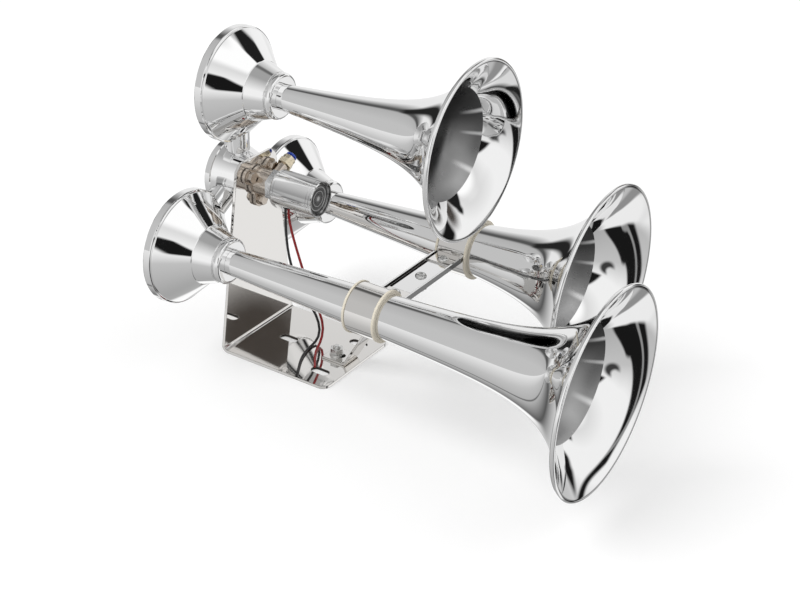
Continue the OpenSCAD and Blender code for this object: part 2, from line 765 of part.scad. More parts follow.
module core_tube() {
    color([0.76, 0.77, 0.79]) at_hub() difference() {
        union() {
            rod_x(thread_r - 0.2, core_flange_x, core_flange_x + core_flange_t);
            rod_x(core_tube_r, core_flange_x, core_tube_end_x);
        }
        rod_x(core_bore_r, core_flange_x - cut, core_tube_end_x + cut);
    }
}

module fixed_core() {
    color([0.66, 0.67, 0.69]) at_hub() difference() {
        rod_x(core_bore_r - 0.02, core_x, core_tube_end_x);
        rod_x(spring_r + 0.5, core_x - cut, core_x + spring_seat_l);
    }
}

module plunger() {
    color([0.62, 0.63, 0.65]) at_hub() difference() {
        rod_x(plunger_r, plunger_x, plunger_end_x);
        rod_x(seal_r, plunger_x - cut, plunger_x + seal_t - 0.6);
        rod_x(spring_r + 0.5, plunger_end_x - spring_pocket_l, plunger_end_x + cut);
    }
}

module plunger_seal() {
    color([0.15, 0.15, 0.15]) at_hub() rod_x(seal_r, seat_x + seal_gap, plunger_x + seal_t - 0.6);
}

// Swept tube: rings of points square to a route
function unit(v) = v / norm(v);
function ring_side(t) = unit(cross(t, abs(t[2]) < 0.9 ? [0, 0, 1] : [1, 0, 0]));
function route_tangent(p, i) = unit(p[min(i + 1, len(p) - 1)] - p[max(i - 1, 0)]);
function carried(side, t) = unit(side - (side * t) * t);
function ring_sides(p, i = 0, side = undef, out = []) = i == len(p) ? out :
    let (t = route_tangent(p, i), s = is_undef(side) ? ring_side(t) : carried(side, t))
        ring_sides(p, i + 1, s, concat(out, [s]));
module swept_tube(p, r, sides) {
    side = ring_sides(p);
    n = len(p);
    points = [for (i = [0 : n - 1]) let (t = route_tangent(p, i), u = side[i], w = cross(t, u))
        for (k = [0 : sides - 1]) p[i] + r * (cos(k * 360 / sides) * u + sin(k * 360 / sides) * w)];
    walls = [for (i = [0 : n - 2]) for (k = [0 : sides - 1])
        [i * sides + k, (i + 1) * sides + k, (i + 1) * sides + (k + 1) % sides, i * sides + (k + 1) % sides]];
    ends = [[for (k = [0 : sides - 1]) k], [for (k = [sides - 1 : -1 : 0]) (n - 1) * sides + k]];
    polyhedron(points, concat(walls, ends), convexity = 6);
}

// Return spring between the plunger's pocket and the fixed core's seat
spring_x0 = plunger_end_x - spring_pocket_l + spring_wire_r;
spring_x1 = core_x + spring_seat_l - spring_wire_r;
spring_ring_count = 12 * spring_turns;
module plunger_spring() {
    route = [for (i = [0 : spring_ring_count]) let (f = i / spring_ring_count, a = 360 * spring_turns * f)
        [spring_x0 + (spring_x1 - spring_x0) * f, spring_r * cos(a), spring_r * sin(a)]];
    color([0.7, 0.7, 0.72]) at_hub() swept_tube(route, spring_wire_r, 6);
}

module coil_bobbin() {
    color([0.14, 0.14, 0.15]) at_hub() difference() {
        turned([[bobbin_x, 0], [bobbin_x, bobbin_r], [bobbin_x + 1.5, bobbin_r],
            [bobbin_x + 1.5, core_tube_r + clearance + bobbin_wall],
            [bobbin_end_x - 1.5, core_tube_r + clearance + bobbin_wall], [bobbin_end_x - 1.5, bobbin_r],
            [bobbin_end_x, bobbin_r], [bobbin_end_x, 0]]);
        rod_x(core_tube_r + clearance, bobbin_x - cut, bobbin_end_x + cut);
    }
}

module coil_winding() {
    color([0.66, 0.38, 0.18]) at_hub() difference() {
        rod_x(bobbin_r - 0.8, bobbin_x + 1.5, bobbin_end_x - 1.5);
        rod_x(core_tube_r + clearance + bobbin_wall + winding_gap, bobbin_x, bobbin_end_x);
    }
}

// Deep-drawn cover with a rounded back edge and a thin front rim
cover_soft = 2.2;
soft_steps = 6;
module coil_cover() {
    color([0.85, 0.86, 0.88]) at_hub() difference() {
        turned(concat([[coil_x, 0]],
            [for (i = [0 : soft_steps]) let (a = 90 * i / soft_steps)
                [coil_x + cover_soft * (1 - cos(a)), coil_cover_r - cover_soft * (1 - sin(a))]],
            [[coil_end_x - 0.4, coil_cover_r], [coil_end_x, coil_cover_r - 0.4], [coil_end_x, 0]]));
        rod_x(coil_cover_r - coil_cover_wall, coil_x + coil_cover_wall, coil_end_x + cut);
        rod_x(core_tube_r + clearance, coil_x - cut, coil_end_x);
        translate([lead_x, 0, -coil_cover_r - cut])
            cylinder(r = grommet_neck_r + clearance, h = coil_cover_r);
    }
}

// End plate with a shallow ring pressed into its face
module end_cap() {
    face = end_cap_x + end_cap_t;
    floor_x = face - end_groove_depth;
    side = 0.4;
    edge_r = coil_cover_r - coil_cover_wall - clearance;
    color([0.30, 0.31, 0.33]) at_hub() turned([[end_cap_x, 0], [end_cap_x, edge_r], [face, edge_r],
        [face, end_groove_r], [floor_x, end_groove_r - side], [floor_x, end_groove_r - end_groove_w + side],
        [face, end_groove_r - end_groove_w], [face, 0]]);
}

// Grommet: flange outside the cover, neck through its wall
module lead_grommet() {
    color([0.08, 0.08, 0.08]) at_base() translate([lead_x, 0, 0]) difference() {
        union() {
            translate([0, 0, grommet_face_z]) cylinder(r = grommet_r, h = grommet_flange_t + 0.4);
            translate([0, 0, grommet_face_z])
                cylinder(r = grommet_neck_r, h = grommet_flange_t + coil_cover_wall + 0.1);
        }
        translate([-grommet_r - cut, 0, hub_height]) rotate([0, 90, 0])
            difference() {
                cylinder(r = coil_cover_r, h = 2 * grommet_r + 2 * cut);
                translate([coil_cover_r - cut, 0, 0]) rotate([0, 90, 0])
                    translate([-grommet_r - cut, 0, -cut]) cylinder(r = grommet_neck_r, h = 3 * cut);
            }
    }
}

// Push-in fitting along local Z, from the valve axis outward
module at_inlet() {
    at_hub() radial(inlet_x, inlet_angle) children();
}

module fitting_body() {
    color([0.78, 0.66, 0.44]) at_inlet() difference() {
        union() {
            translate([0, 0, inlet_reach - fitting_thread_l])
                cylinder(r = fitting_thread_r, h = fitting_thread_l + cut);
            translate([0, 0, inlet_reach]) hexagon(fitting_hex_af, fitting_hex_l);
            translate([0, 0, hex_end - cut]) cylinder(r = barrel_r, h = barrel_l + cut - 0.5);
            translate([0, 0, barrel_end - 0.5]) cylinder(r1 = barrel_r, r2 = barrel_r - 0.5, h = 0.5);
        }
        translate([0, 0, inlet_reach - fitting_thread_l - cut]) cylinder(r = orifice_r, h = barrel_end);
        translate([0, 0, tube_stop]) cylinder(r = tube_bore_r, h = barrel_end);
        translate([0, 0, seal_x]) cylinder(r = collet_r + slide_clearance, h = barrel_end);
    }
}

module fitting_seal() {
    color([0.12, 0.12, 0.12]) at_inlet() translate([0, 0, seal_x]) difference() {
        cylinder(r = collet_r + slide_clearance - 0.02, h = seal_stack_l);
        translate([0, 0, -cut]) cylinder(r = tube_bore_r + 0.1, h = seal_stack_l + 2 * cut);
    }
}

module release_collet() {
    color([0.12, 0.30, 0.80]) at_inlet() difference() {
        union() {
            translate([0, 0, barrel_end + collet_gap - collet_l]) cylinder(r = collet_r, h = collet_l + 0.2);
            translate([0, 0, barrel_end + collet_gap])
                cylinder(r = collet_flange_r, h = collet_flange_t - 0.4);
            translate([0, 0, barrel_end + collet_gap + collet_flange_t - 0.4])
                cylinder(r1 = collet_flange_r, r2 = collet_flange_r - 0.4, h = 0.4);
        }
        translate([0, 0, 0]) cylinder(r = collet_bore_r, h = 2 * barrel_end);
    }
}

// Lead wires: routes from the grommet's face down to the base, chosen by hand
lead_r = 1.1;
black_route = [
    [-1.6, 0, 0], [-1.6, 0, -6], [-1.5, 0, -13], [-1.2, 0, -21], [-0.6, 0, -29], [0.4, 0, -37],
    [2, 0, -45], [4.2, 0.2, -53], [7, 0.8, -61], [10.4, 1.8, -69], [14, 3, -76.5], [17.6, 4.6, -83.5],
    [20.8, 6.6, -90.5], [23.2, 8.8, -97.5], [24.8, 10.6, -105], [25.6, 11.2, -112.5], [25.6, 9.6, -118.5],
    [25.4, 5.6, -121.8], [25.6, 0.2, -122.7], [26.4, -6, -122.7], [27.8, -12, -122.7], [29.6, -18, -122.7],
    [32, -24, -122.7], [35, -30, -122.7], [38.4, -36, -122.7], [41.4, -42, -122.7]
];
red_route = [
    [1.6, 0, 0], [1.6, 0, -5], [2.6, 0, -12.5], [4.6, 0, -20.5], [7, 0, -28], [9.6, 0, -35.5],
    [12.2, 0.2, -43], [14.6, 0.6, -50.5], [16.8, 1.4, -58], [18.8, 2.8, -65.5], [20.8, 4.4, -73],
    [22.8, 6, -80.5], [25, 7.8, -88], [27, 9.6, -95.5], [28.4, 11, -103], [29, 11.4, -110.5],
    [29.4, 9.6, -117], [30.2, 5.6, -121.2], [31.8, 0, -122.7], [34.2, -5.6, -122.7], [37.4, -11.2, -122.7],
    [41, -16.6, -122.7], [44.8, -21.8, -122.7], [48, -26.4, -122.7]
];

module wire(route, shade) {
    color(shade) at_base() translate([lead_x, 0, grommet_face_z]) swept_tube(route, lead_r, 8);
}

module wire_black() {
    wire(black_route, [0.06, 0.06, 0.06]);
}

module wire_red() {
    wire(red_route, [0.62, 0.08, 0.08]);
}

// Cross bar: a channel with upturned lips and three bolt holes
module support_bar() {
    y0 = -bar_end_y(LEFT);
    y1 = bar_end_y(RIGHT);
    color([0.78, 0.79, 0.80]) at_base() difference() {
        translate([bar_back_x, y0, bar_z - bar_t / 2]) difference() {
            cube([bar_width, y1 - y0, bar_t + lip_h]);
            translate([lip_t, -cut, bar_t]) cube([bar_width - 2 * lip_t, y1 - y0 + 2 * cut, lip_h + cut]);
        }
        for (horn = [LEFT, RIGHT]) translate([bar_x, clamp_bolt_y(horn), bar_z - bar_t])
            cylinder(r = m5_r + hole_clearance, h = 2 * bar_t);
        translate([bar_x, 0, bar_z - bar_t]) cylinder(r = m6_r + hole_clearance, h = 2 * bar_t);
    }
}

// Clamp band: a ring open towards the bar, and two tails that hold the bar between them
module clamp_band(horn) {
    r0 = band_inner_r(horn);
    r1 = band_outer_r(horn);
    side = horn_y(horn) > 0 ? -1 : 1;
    tail_from = r0 + 0.2;
    tail_l = r1 + tail_end - tail_from;
    color([0.80, 0.81, 0.82]) difference() {
        at_horn(horn) union() {
            difference() {
                rod_x(r1, bar_back_x, bar_front_x);
                rod_x(r0, bar_back_x - cut, bar_front_x + cut);
                translate([bar_back_x - cut, side > 0 ? 0 : -r1 - cut, -bar_t / 2])
                    cube([bar_width + 2 * cut, r1 + cut, bar_t]);
            }
            for (z = [bar_t / 2, -bar_t / 2 - band_t])
                translate([bar_x - tail_width / 2, side > 0 ? tail_from : -tail_from - tail_l, z])
                    cube([tail_width, tail_l, band_t]);
        }
        at_base() translate([bar_x, clamp_bolt_y(horn), bar_z - bar_t / 2 - band_t - cut])
            cylinder(r = m5_r + hole_clearance, h = bar_t + 2 * band_t + 2 * cut);
    }
}

// Rubber liner: bored to the trumpet's taper, open where the tails pass,
// with a closed lip round each edge of the band
lip_over = 0.7;
module clamp_liner(horn) {
    r0 = band_inner_r(horn);
    r1 = band_outer_r(horn);
    x0 = bar_back_x - liner_edge;
    x1 = bar_front_x + liner_edge;
    gap = 0.15;
    side = horn_y(horn) > 0 ? 180 : 0;
    color([0.90, 0.86, 0.74]) at_horn(horn) difference() {
        turned([[x0, trumpet_r(horn, x0) + gap], [x0, r1 + lip_over - 0.5], [x0 + 0.5, r1 + lip_over],
            [bar_back_x, r1 + lip_over], [bar_back_x, r0], [bar_front_x, r0], [bar_front_x, r1 + lip_over],
            [x1 - 0.5, r1 + lip_over], [x1, r1 + lip_over - 0.5], [x1, trumpet_r(horn, x1) + gap],
            [bar_x, trumpet_r(horn, bar_x) + gap + 0.1]]);
        rotate([side, 0, 0]) translate([bar_back_x, 0, -bar_t / 2 - band_t])
            cube([bar_width, 2 * r1, bar_t + 2 * band_t]);
    }
}

module hex_nut(r, af, height) {
    difference() {
        hexagon(af, height);
        translate([0, 0, -cut]) cylinder(r = r + clearance / 2, h = height + 2 * cut);
    }
}

// Button-head bolt along Z: head up from z = 0, shank down
button_r = 4.6;
button_h = 2.4;
button_socket_depth = 1.2;
module button_bolt(r, length) {
    difference() {
        union() {
            rotate_extrude() polygon([[0, 0], [button_r, 0], [button_r, 0.25 * button_h],
                [0.9 * button_r, 0.55 * button_h], [0.72 * button_r, 0.82 * button_h],
                [0.5 * button_r, button_h], [0, button_h]]);
            translate([0, 0, -length]) cylinder(r = r, h = length + cut);
        }
        translate([0, 0, button_h - button_socket_depth])
            cylinder(r = 0.4 * button_r, h = button_socket_depth + cut, $fn = 6);
    }
}

module clamp_bolts() {
    z0 = bar_z + bar_t / 2 + band_t;
    length = bar_t + 2 * band_t + m5_nut_h + 2;
    color([0.72, 0.73, 0.75]) at_base() for (horn = [LEFT, RIGHT])
        translate([bar_x, clamp_bolt_y(horn), z0]) button_bolt(m5_r, length);
}

module clamp_nuts() {
    color([0.72, 0.73, 0.75]) at_base() for (horn = [LEFT, RIGHT])
        translate([bar_x, clamp_bolt_y(horn), bar_z - bar_t / 2 - band_t]) mirror([0, 0, 1])
            hex_nut(m5_r, m5_head_af, m5_nut_h);
}

// Brace: one strip with a rounded bend at each end of its leaning part
bend_steps = 6;
function turn_arc(a, b, c, r) = let (
    u = unit(a - b), w = unit(c - b), half = acos(u * w) / 2,
    centre = b + unit(u + w) * r / sin(half), p = b + u * r / tan(half), q = b + w * r / tan(half)
) [for (i = [0 : bend_steps]) let (f = i / bend_steps, m = p + (q - p) * f) centre + unit(m - centre) * r];
function strip_side(path, t) = [for (i = [0 : len(path) - 1])
    let (d = route_tangent(path, i)) path[i] + t / 2 * [-d[1], d[0]]];
function reversed(list) = [for (i = [len(list) - 1 : -1 : 0]) list[i]];
module brace() {
    a = [brace_bend_x - foot_length, brace_foot_z];
    b = [brace_bend_x, brace_foot_z];
    c = [brace_top_x, brace_top_z];
    d = [brace_end_x, brace_top_z];
    path = concat([a, b - [brace_bend_r, 0]], turn_arc(a, b, c, brace_bend_r),
        turn_arc(b, c, d, brace_bend_r), [c + [brace_bend_r, 0], d]);
    color([0.78, 0.79, 0.80]) at_base() difference() {
        translate([0, brace_width / 2, 0]) rotate([90, 0, 0]) linear_extrude(height = brace_width)
            polygon(concat(strip_side(path, brace_t), reversed(strip_side(path, -brace_t))));
        translate([stud_x + 2.5, 0, 0]) slot_x(2 * m6_r + 0.6, foot_slot_l, brace_foot_z + brace_t);
        translate([bar_x, 0, brace_top_z - brace_t]) cylinder(r = m6_r + hole_clearance, h = 2 * brace_t);
    }
}

// Flush press-in stud of the base
module brace_stud() {
    color([0.72, 0.73, 0.75]) at_base() translate([stud_x, 0, 0]) {
        translate([0, 0, 0.1]) cylinder(r1 = m6_r + 1.3, r2 = m6_r, h = 1.3);
        translate([0, 0, 0.1]) cylinder(r = m6_r, h = stud_top - 0.9);
        translate([0, 0, stud_top - 0.8]) cylinder(r1 = m6_r, r2 = m6_r - 0.8, h = 0.8);
    }
}

foot_top_z = brace_foot_z + brace_t / 2;
nut_under_z = brace_top_z - brace_t / 2;
module brace_washers() {
    color([0.72, 0.73, 0.75]) at_base() for (p = [[stud_x, foot_top_z], [bar_x, nut_under_z - m6_washer_t]])
        translate([p[0], 0, p[1]]) difference() {
            cylinder(r = m6_washer_r, h = m6_washer_t);
            translate([0, 0, -cut]) cylinder(r = m6_r + clearance, h = m6_washer_t + 2 * cut);
        }
}

module brace_nuts() {
    color([0.72, 0.73, 0.75]) at_base() {
        translate([stud_x, 0, foot_top_z + m6_washer_t]) hex_nut(m6_r, m6_head_af, m6_nut_h);
        translate([bar_x, 0, nut_under_z - m6_washer_t]) mirror([0, 0, 1]) hex_nut(m6_r, m6_head_af, m6_nut_h);
    }
}

module brace_bolt() {
    z0 = bar_z + bar_t / 2;
    length = bar_t + brace_t + m6_washer_t + m6_nut_h + 2.5;
    color([0.72, 0.73, 0.75]) at_base() translate([bar_x, 0, z0]) button_bolt(m6_r, length);
}

bracket();
manifold();
manifold_cover();
manifold_seal();
cover_screws();
neck_seals();
horn_housing(TOP);  // horn_housing_top
horn_housing(LEFT);  // horn_housing_left
horn_housing(RIGHT);  // horn_housing_right
rear_cap(TOP);  // rear_cap_top
rear_cap(LEFT);  // rear_cap_left
rear_cap(RIGHT);  // rear_cap_right
diaphragm(TOP);  // diaphragm_top
diaphragm(LEFT);  // diaphragm_left
diaphragm(RIGHT);  // diaphragm_right
diaphragm_gasket(TOP);  // diaphragm_gasket_top
diaphragm_gasket(LEFT);  // diaphragm_gasket_left
diaphragm_gasket(RIGHT);  // diaphragm_gasket_right
trumpet(TOP);  // trumpet_top
trumpet(LEFT);  // trumpet_left
trumpet(RIGHT);  // trumpet_right
cap_screws();
valve_gasket();
valve_body();
manifold_bolts();
manifold_washers();
union_nut();
core_tube();
fixed_core();
plunger();
plunger_seal();
plunger_spring();
coil_bobbin();
coil_winding();
coil_cover();
end_cap();
lead_grommet();
fitting_body();
fitting_seal();
release_collet();
wire_black();
wire_red();
support_bar();
clamp_band(LEFT);  // clamp_band_left
clamp_band(RIGHT);  // clamp_band_right
clamp_liner(LEFT);  // clamp_liner_left
clamp_liner(RIGHT);  // clamp_liner_right
clamp_bolts();
clamp_nuts();
brace();
brace_stud();
brace_bolt();
brace_nuts();
brace_washers();
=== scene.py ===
import math
import bmesh
import bpy
from mathutils import Matrix, Vector


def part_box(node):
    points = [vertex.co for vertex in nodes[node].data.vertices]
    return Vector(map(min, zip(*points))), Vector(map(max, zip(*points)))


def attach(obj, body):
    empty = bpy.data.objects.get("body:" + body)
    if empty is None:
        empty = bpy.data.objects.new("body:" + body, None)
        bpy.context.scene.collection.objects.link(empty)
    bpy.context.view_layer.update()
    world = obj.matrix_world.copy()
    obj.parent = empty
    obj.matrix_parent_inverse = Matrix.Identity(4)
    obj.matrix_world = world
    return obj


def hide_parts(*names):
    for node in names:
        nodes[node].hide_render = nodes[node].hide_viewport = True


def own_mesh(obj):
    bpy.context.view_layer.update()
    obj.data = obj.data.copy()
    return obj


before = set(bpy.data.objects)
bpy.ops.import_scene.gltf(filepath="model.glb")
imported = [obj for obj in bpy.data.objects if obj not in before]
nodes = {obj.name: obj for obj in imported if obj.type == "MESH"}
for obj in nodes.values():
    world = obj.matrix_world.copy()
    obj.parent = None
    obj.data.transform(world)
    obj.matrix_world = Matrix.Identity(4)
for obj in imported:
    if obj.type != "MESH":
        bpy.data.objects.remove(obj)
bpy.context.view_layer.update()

# Camera: stands to the right of the mouths and a little above, and looks down on the horns.
# It has the lens and the slight roll that the horn is seen with.
turn = math.radians(32.09)
lift = math.radians(29.0)
roll = math.radians(2.136)
back = Vector((math.sin(turn) * math.cos(lift), -math.cos(turn) * math.cos(lift), math.sin(lift)))
level = Vector((math.cos(turn), math.sin(turn), 0))
upright = back.cross(level)
right = level * math.cos(roll) + upright * math.sin(roll)
up = upright * math.cos(roll) - level * math.sin(roll)
camera = bpy.data.objects.new("camera", bpy.data.cameras.new("camera"))
bpy.context.scene.collection.objects.link(camera)
camera.data.lens = 68.18
camera.data.clip_start = 0.02
camera.matrix_world = (Matrix.Translation((0.6571, -0.9005, 0.6658))
                       @ Matrix((right, up, back)).transposed().to_4x4())
bpy.context.scene.camera = camera
bpy.context.scene.view_settings.view_transform = "Standard"


# Lead wires: two single leads with soft plastic insulation, black and dark red.
# They leave the coil through its grommet, hang down and end on the base sheet.
def plain_material(name, colour, metallic, roughness):
    material = bpy.data.materials.new(name)
    material.use_nodes = True
    shader = material.node_tree.nodes["Principled BSDF"]
    shader.inputs["Base Color"].default_value = (*colour, 1)
    shader.inputs["Metallic"].default_value = metallic
    shader.inputs["Roughness"].default_value = roughness
    return material, material.node_tree, shader


def grain_over(tree, shader, scale, low, high, stretch=(1, 1, 1)):
    """A fine noise on Object coordinates that moves the roughness between two values."""
    place = tree.nodes.new("ShaderNodeTexCoord")
    mapping = tree.nodes.new("ShaderNodeMapping")
    mapping.inputs["Scale"].default_value = stretch
    noise = tree.nodes.new("ShaderNodeTexNoise")
    noise.inputs["Scale"].default_value = scale
    noise.inputs["Detail"].default_value = 3
    spread = tree.nodes.new("ShaderNodeMapRange")
    spread.inputs["From Min"].default_value = 0.35
    spread.inputs["From Max"].default_value = 0.65
    spread.inputs["To Min"].default_value = low
    spread.inputs["To Max"].default_value = high
    tree.links.new(place.outputs["Object"], mapping.inputs["Vector"])
    tree.links.new(mapping.outputs["Vector"], noise.inputs["Vector"])
    tree.links.new(noise.outputs["Fac"], spread.inputs["Value"])
    tree.links.new(spread.outputs["Result"], shader.inputs["Roughness"])
    return noise


def fine_bump(tree, shader, noise, height, strength=1.0):
    bump = tree.nodes.new("ShaderNodeBump")
    bump.inputs["Strength"].default_value = strength
    bump.inputs["Distance"].default_value = height
    tree.links.new(noise.outputs["Fac"], bump.inputs["Height"])
    tree.links.new(bump.outputs["Normal"], shader.inputs["Normal"])


grommet_face = Vector((-0.0202, 0, 0.1264))
lead_r = 0.0011
black_route = [
    (-1.6, 0, 0), (-1.6, 0, -6), (-1.5, 0, -13), (-1.2, 0, -21), (-0.6, 0, -29), (0.4, 0, -37),
    (2, 0, -45), (4.2, 0.2, -53), (7, 0.8, -61), (10.4, 1.8, -69), (14, 3, -76.5), (17.6, 4.6, -83.5),
    (20.8, 6.6, -90.5), (23.2, 8.8, -97.5), (24.8, 10.6, -105), (25.6, 11.2, -112.5), (25.6, 9.6, -118.5),
    (25.4, 5.6, -121.8), (25.6, 0.2, -122.7), (26.4, -6, -122.7), (27.8, -12, -122.7), (29.6, -18, -122.7),
    (32, -24, -122.7), (35, -30, -122.7), (38.4, -36, -122.7), (41.4, -42, -122.7)]
red_route = [
    (1.6, 0, 0), (1.6, 0, -5), (2.6, 0, -12.5), (4.6, 0, -20.5), (7, 0, -28), (9.6, 0, -35.5),
    (12.2, 0.2, -43), (14.6, 0.6, -50.5), (16.8, 1.4, -58), (18.8, 2.8, -65.5), (20.8, 4.4, -73),
    (22.8, 6, -80.5), (25, 7.8, -88), (27, 9.6, -95.5), (28.4, 11, -103), (29, 11.4, -110.5),
    (29.4, 9.6, -117), (30.2, 5.6, -121.2), (31.8, 0, -122.7), (34.2, -5.6, -122.7), (37.4, -11.2, -122.7),
    (41, -16.6, -122.7), (44.8, -21.8, -122.7), (48, -26.4, -122.7)]
for name, route, colour in (("wire_black", black_route, (0.018, 0.018, 0.019)),
                            ("wire_red", red_route, (0.30, 0.012, 0.014))):
    points = [grommet_face + Vector(p) * 0.001 for p in route]
    curve = bpy.data.curves.new(name + "_lead", "CURVE")
    curve.dimensions = "3D"
    curve.bevel_depth = lead_r
    curve.bevel_resolution = 5
    curve.resolution_u = 6
    curve.use_fill_caps = True
    spline = curve.splines.new("POLY")
    spline.points.add(len(points) - 1)
    for point, place in zip(spline.points, points):
        point.co = (*place, 1)
    lead = bpy.data.objects.new(name + "_lead", curve)
    bpy.context.scene.collection.objects.link(lead)
    insulation, tree, shader = plain_material(name + "_insulation", colour, 0, 0.42)
    grain = grain_over(tree, shader, 900, 0.36, 0.5)
    fine_bump(tree, shader, grain, 0.00004)
    curve.materials.append(insulation)
    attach(lead, "horn")
    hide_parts(name)
    length = sum((b - a).length for a, b in zip(points, points[1:]))

# Floor and studio: a white paper disc that keeps the horn's soft shadow, and white walls for the camera.
# The chrome sees a studio of pale walls with black cards all round it. Two soft lamps light the paper.
def node_of(tree, kind, **settings):
    node = tree.nodes.new(kind)
    for name, value in settings.items():
        setattr(node, name, value)
    return node


def maths(tree, operation, *values):
    node = node_of(tree, "ShaderNodeMath", operation=operation)
    for socket, value in zip(node.inputs, values):
        if isinstance(value, (int, float)):
            socket.default_value = value
        else:
            tree.links.new(value, socket)
    return node.outputs[0]


def fade(tree, value, start, end):
    """1 below start, 0 above end, smooth between."""
    node = node_of(tree, "ShaderNodeMapRange", interpolation_type="SMOOTHSTEP")
    node.inputs["From Min"].default_value = start
    node.inputs["From Max"].default_value = end
    node.inputs["To Min"].default_value = 1
    node.inputs["To Max"].default_value = 0
    tree.links.new(value, node.inputs["Value"])
    return node.outputs["Result"]


def mixed(tree, share, first, second):
    node = node_of(tree, "ShaderNodeMix", data_type="FLOAT")
    for socket, value in zip(node.inputs[:4], (share, None, first, second)):
        if isinstance(value, (int, float)):
            socket.default_value = value
        elif value is not None:
            tree.links.new(value, socket)
    return node.outputs[0]


studio = bpy.data.node_groups.new("studio_walls", "ShaderNodeTree")
studio.interface.new_socket(name="Direction", in_out="INPUT", socket_type="NodeSocketVector")
studio.interface.new_socket(name="Brightness", in_out="OUTPUT", socket_type="NodeSocketFloat")
entry = studio.nodes.new("NodeGroupInput")
unit = node_of(studio, "ShaderNodeVectorMath", operation="NORMALIZE")
parts = studio.nodes.new("ShaderNodeSeparateXYZ")
studio.links.new(entry.outputs["Direction"], unit.inputs[0])
studio.links.new(unit.outputs[0], parts.inputs[0])
east, north, height = parts.outputs["X"], parts.outputs["Y"], parts.outputs["Z"]
azimuth = maths(studio, "DEGREES", maths(studio, "ARCTAN2", north, east))
elevation = maths(studio, "DEGREES", maths(studio, "ARCSINE", height))
round_x = maths(studio, "DEGREES", maths(studio, "ARCTAN2", height, north))


def tones(tree, value, low, high, stops):
    """A grey that follows a value between two limits through a list of stops."""
    share = node_of(tree, "ShaderNodeMapRange")
    share.inputs["From Min"].default_value = low
    share.inputs["From Max"].default_value = high
    tree.links.new(value, share.inputs["Value"])
    ramp = tree.nodes.new("ShaderNodeValToRGB")
    tree.links.new(share.outputs["Result"], ramp.inputs["Fac"])
    while len(ramp.color_ramp.elements) < len(stops):
        ramp.color_ramp.elements.new(0.5)
    for element, (place, tone) in zip(ramp.color_ramp.elements, stops):
        element.position = (place - low) / (high - low)
    for element, (place, tone) in zip(ramp.color_ramp.elements, stops):
        element.color = (tone, tone, tone, 1)
    return ramp.outputs["Color"]


# The room grows grey towards floor and ceiling. Behind the horn its tones follow the angle round X instead:
# pale walls with a dark slot above and a wider one below, which draw lines along the trumpets.
room = tones(studio, elevation, -90, 90, [(-90, 0.4), (-20, 0.6), (0, 1.0), (20, 1.0), (70, 0.4)])
walls_behind = tones(studio, round_x, -180, 180, [
    (-180, 0.9), (-135, 0.6), (-105, 0.5), (-102, 0.05), (-99, 0.5), (-65, 0.1), (-30, 0.9), (30, 0.9),
    (64, 0.1), (72, 0.1), (80, 0.5), (130, 0.6)])
brightness = mixed(studio, fade(studio, east, -0.38, -0.2), room, walls_behind)

# Cards in the room: azimuth, elevation, half width, half height, lean, softness, tone.
# Black ones draw the dark bands on the cones, white ones the bright faces.
cards = [
    (40, -28, 24, 18, 0, 6, 0.93),
    (5, 49, 42, 9, 0, 5, 1.15),
    (130, -58, 22, 16, 0, 5, 1.1),
    (-40, 10, 8, 12, 0.25, 2, 0.01),
    (63, 37, 13, 12, 0.5, 2, 0.015),
    (95, 68, 20, 7, 0, 5, 0.15),
    (154, 8, 6, 24, -0.5, 3, 0.02),
    (78, -5, 8, 9, 0, 3, 0.01),
]
for turned, raised, wide, high, lean, soft, tone in cards:
    above = maths(studio, "SUBTRACT", elevation, raised)
    aside = maths(studio, "WRAP", maths(studio, "SUBTRACT", azimuth, turned), 180, -180)
    aside = maths(studio, "ABSOLUTE", maths(studio, "MULTIPLY_ADD", above, lean, aside))
    inside = maths(studio, "MULTIPLY", fade(studio, aside, wide - soft, wide + soft),
                   fade(studio, maths(studio, "ABSOLUTE", above), high - soft, high + soft))
    brightness = mixed(studio, inside, brightness, tone)

# A black crescent in front of the mouths, open below, which each bell shows as an arc inside its rim.
# A thin grey line runs along it.
def apart_from(turned, raised):
    turned, raised = math.radians(turned), math.radians(raised)
    facing = node_of(studio, "ShaderNodeVectorMath", operation="DOT_PRODUCT")
    facing.inputs[1].default_value = (
        math.cos(turned) * math.cos(raised), math.sin(turned) * math.cos(raised), math.sin(raised))
    studio.links.new(unit.outputs[0], facing.inputs[0])
    return maths(studio, "DEGREES", maths(studio, "ARCCOSINE", facing.outputs["Value"]))


crescent = fade(studio, apart_from(30, -27), 37.5, 39.5)
for turned, raised, edge in ((35, -22, 29), (28, -14, 22)):
    outside_it = maths(studio, "SUBTRACT", 1.0, fade(studio, apart_from(turned, raised), edge - 1, edge + 1))
    crescent = maths(studio, "MULTIPLY", crescent, outside_it)
brightness = mixed(studio, crescent, brightness, 0.01)
line = fade(studio, maths(studio, "ABSOLUTE", maths(studio, "SUBTRACT", apart_from(35, -22), 33.5)), 0.3, 1.2)
brightness = mixed(studio, maths(studio, "MULTIPLY", maths(studio, "MULTIPLY", line, crescent), 0.6),
                   brightness, 0.5)
hook = maths(studio, "SUBTRACT", fade(studio, apart_from(-26, -13), 5, 10),
             fade(studio, apart_from(-22, -10), 2, 6))
brightness = mixed(studio, maths(studio, "MAXIMUM", hook, 0.0), brightness, 0.05)
for turned, raised, wide, high, tone in ((40, -56, 22, 11, 0.95), (70, -52, 9, 11, 0.3)):
    over = maths(studio, "ABSOLUTE", maths(studio, "SUBTRACT", azimuth, turned))
    under = maths(studio, "ABSOLUTE", maths(studio, "SUBTRACT", elevation, raised))
    inside = maths(studio, "MULTIPLY", fade(studio, over, wide - 4, wide + 4),
                   fade(studio, under, high - 3, high + 3))
    brightness = mixed(studio, inside, brightness, tone)
leave = studio.nodes.new("NodeGroupOutput")
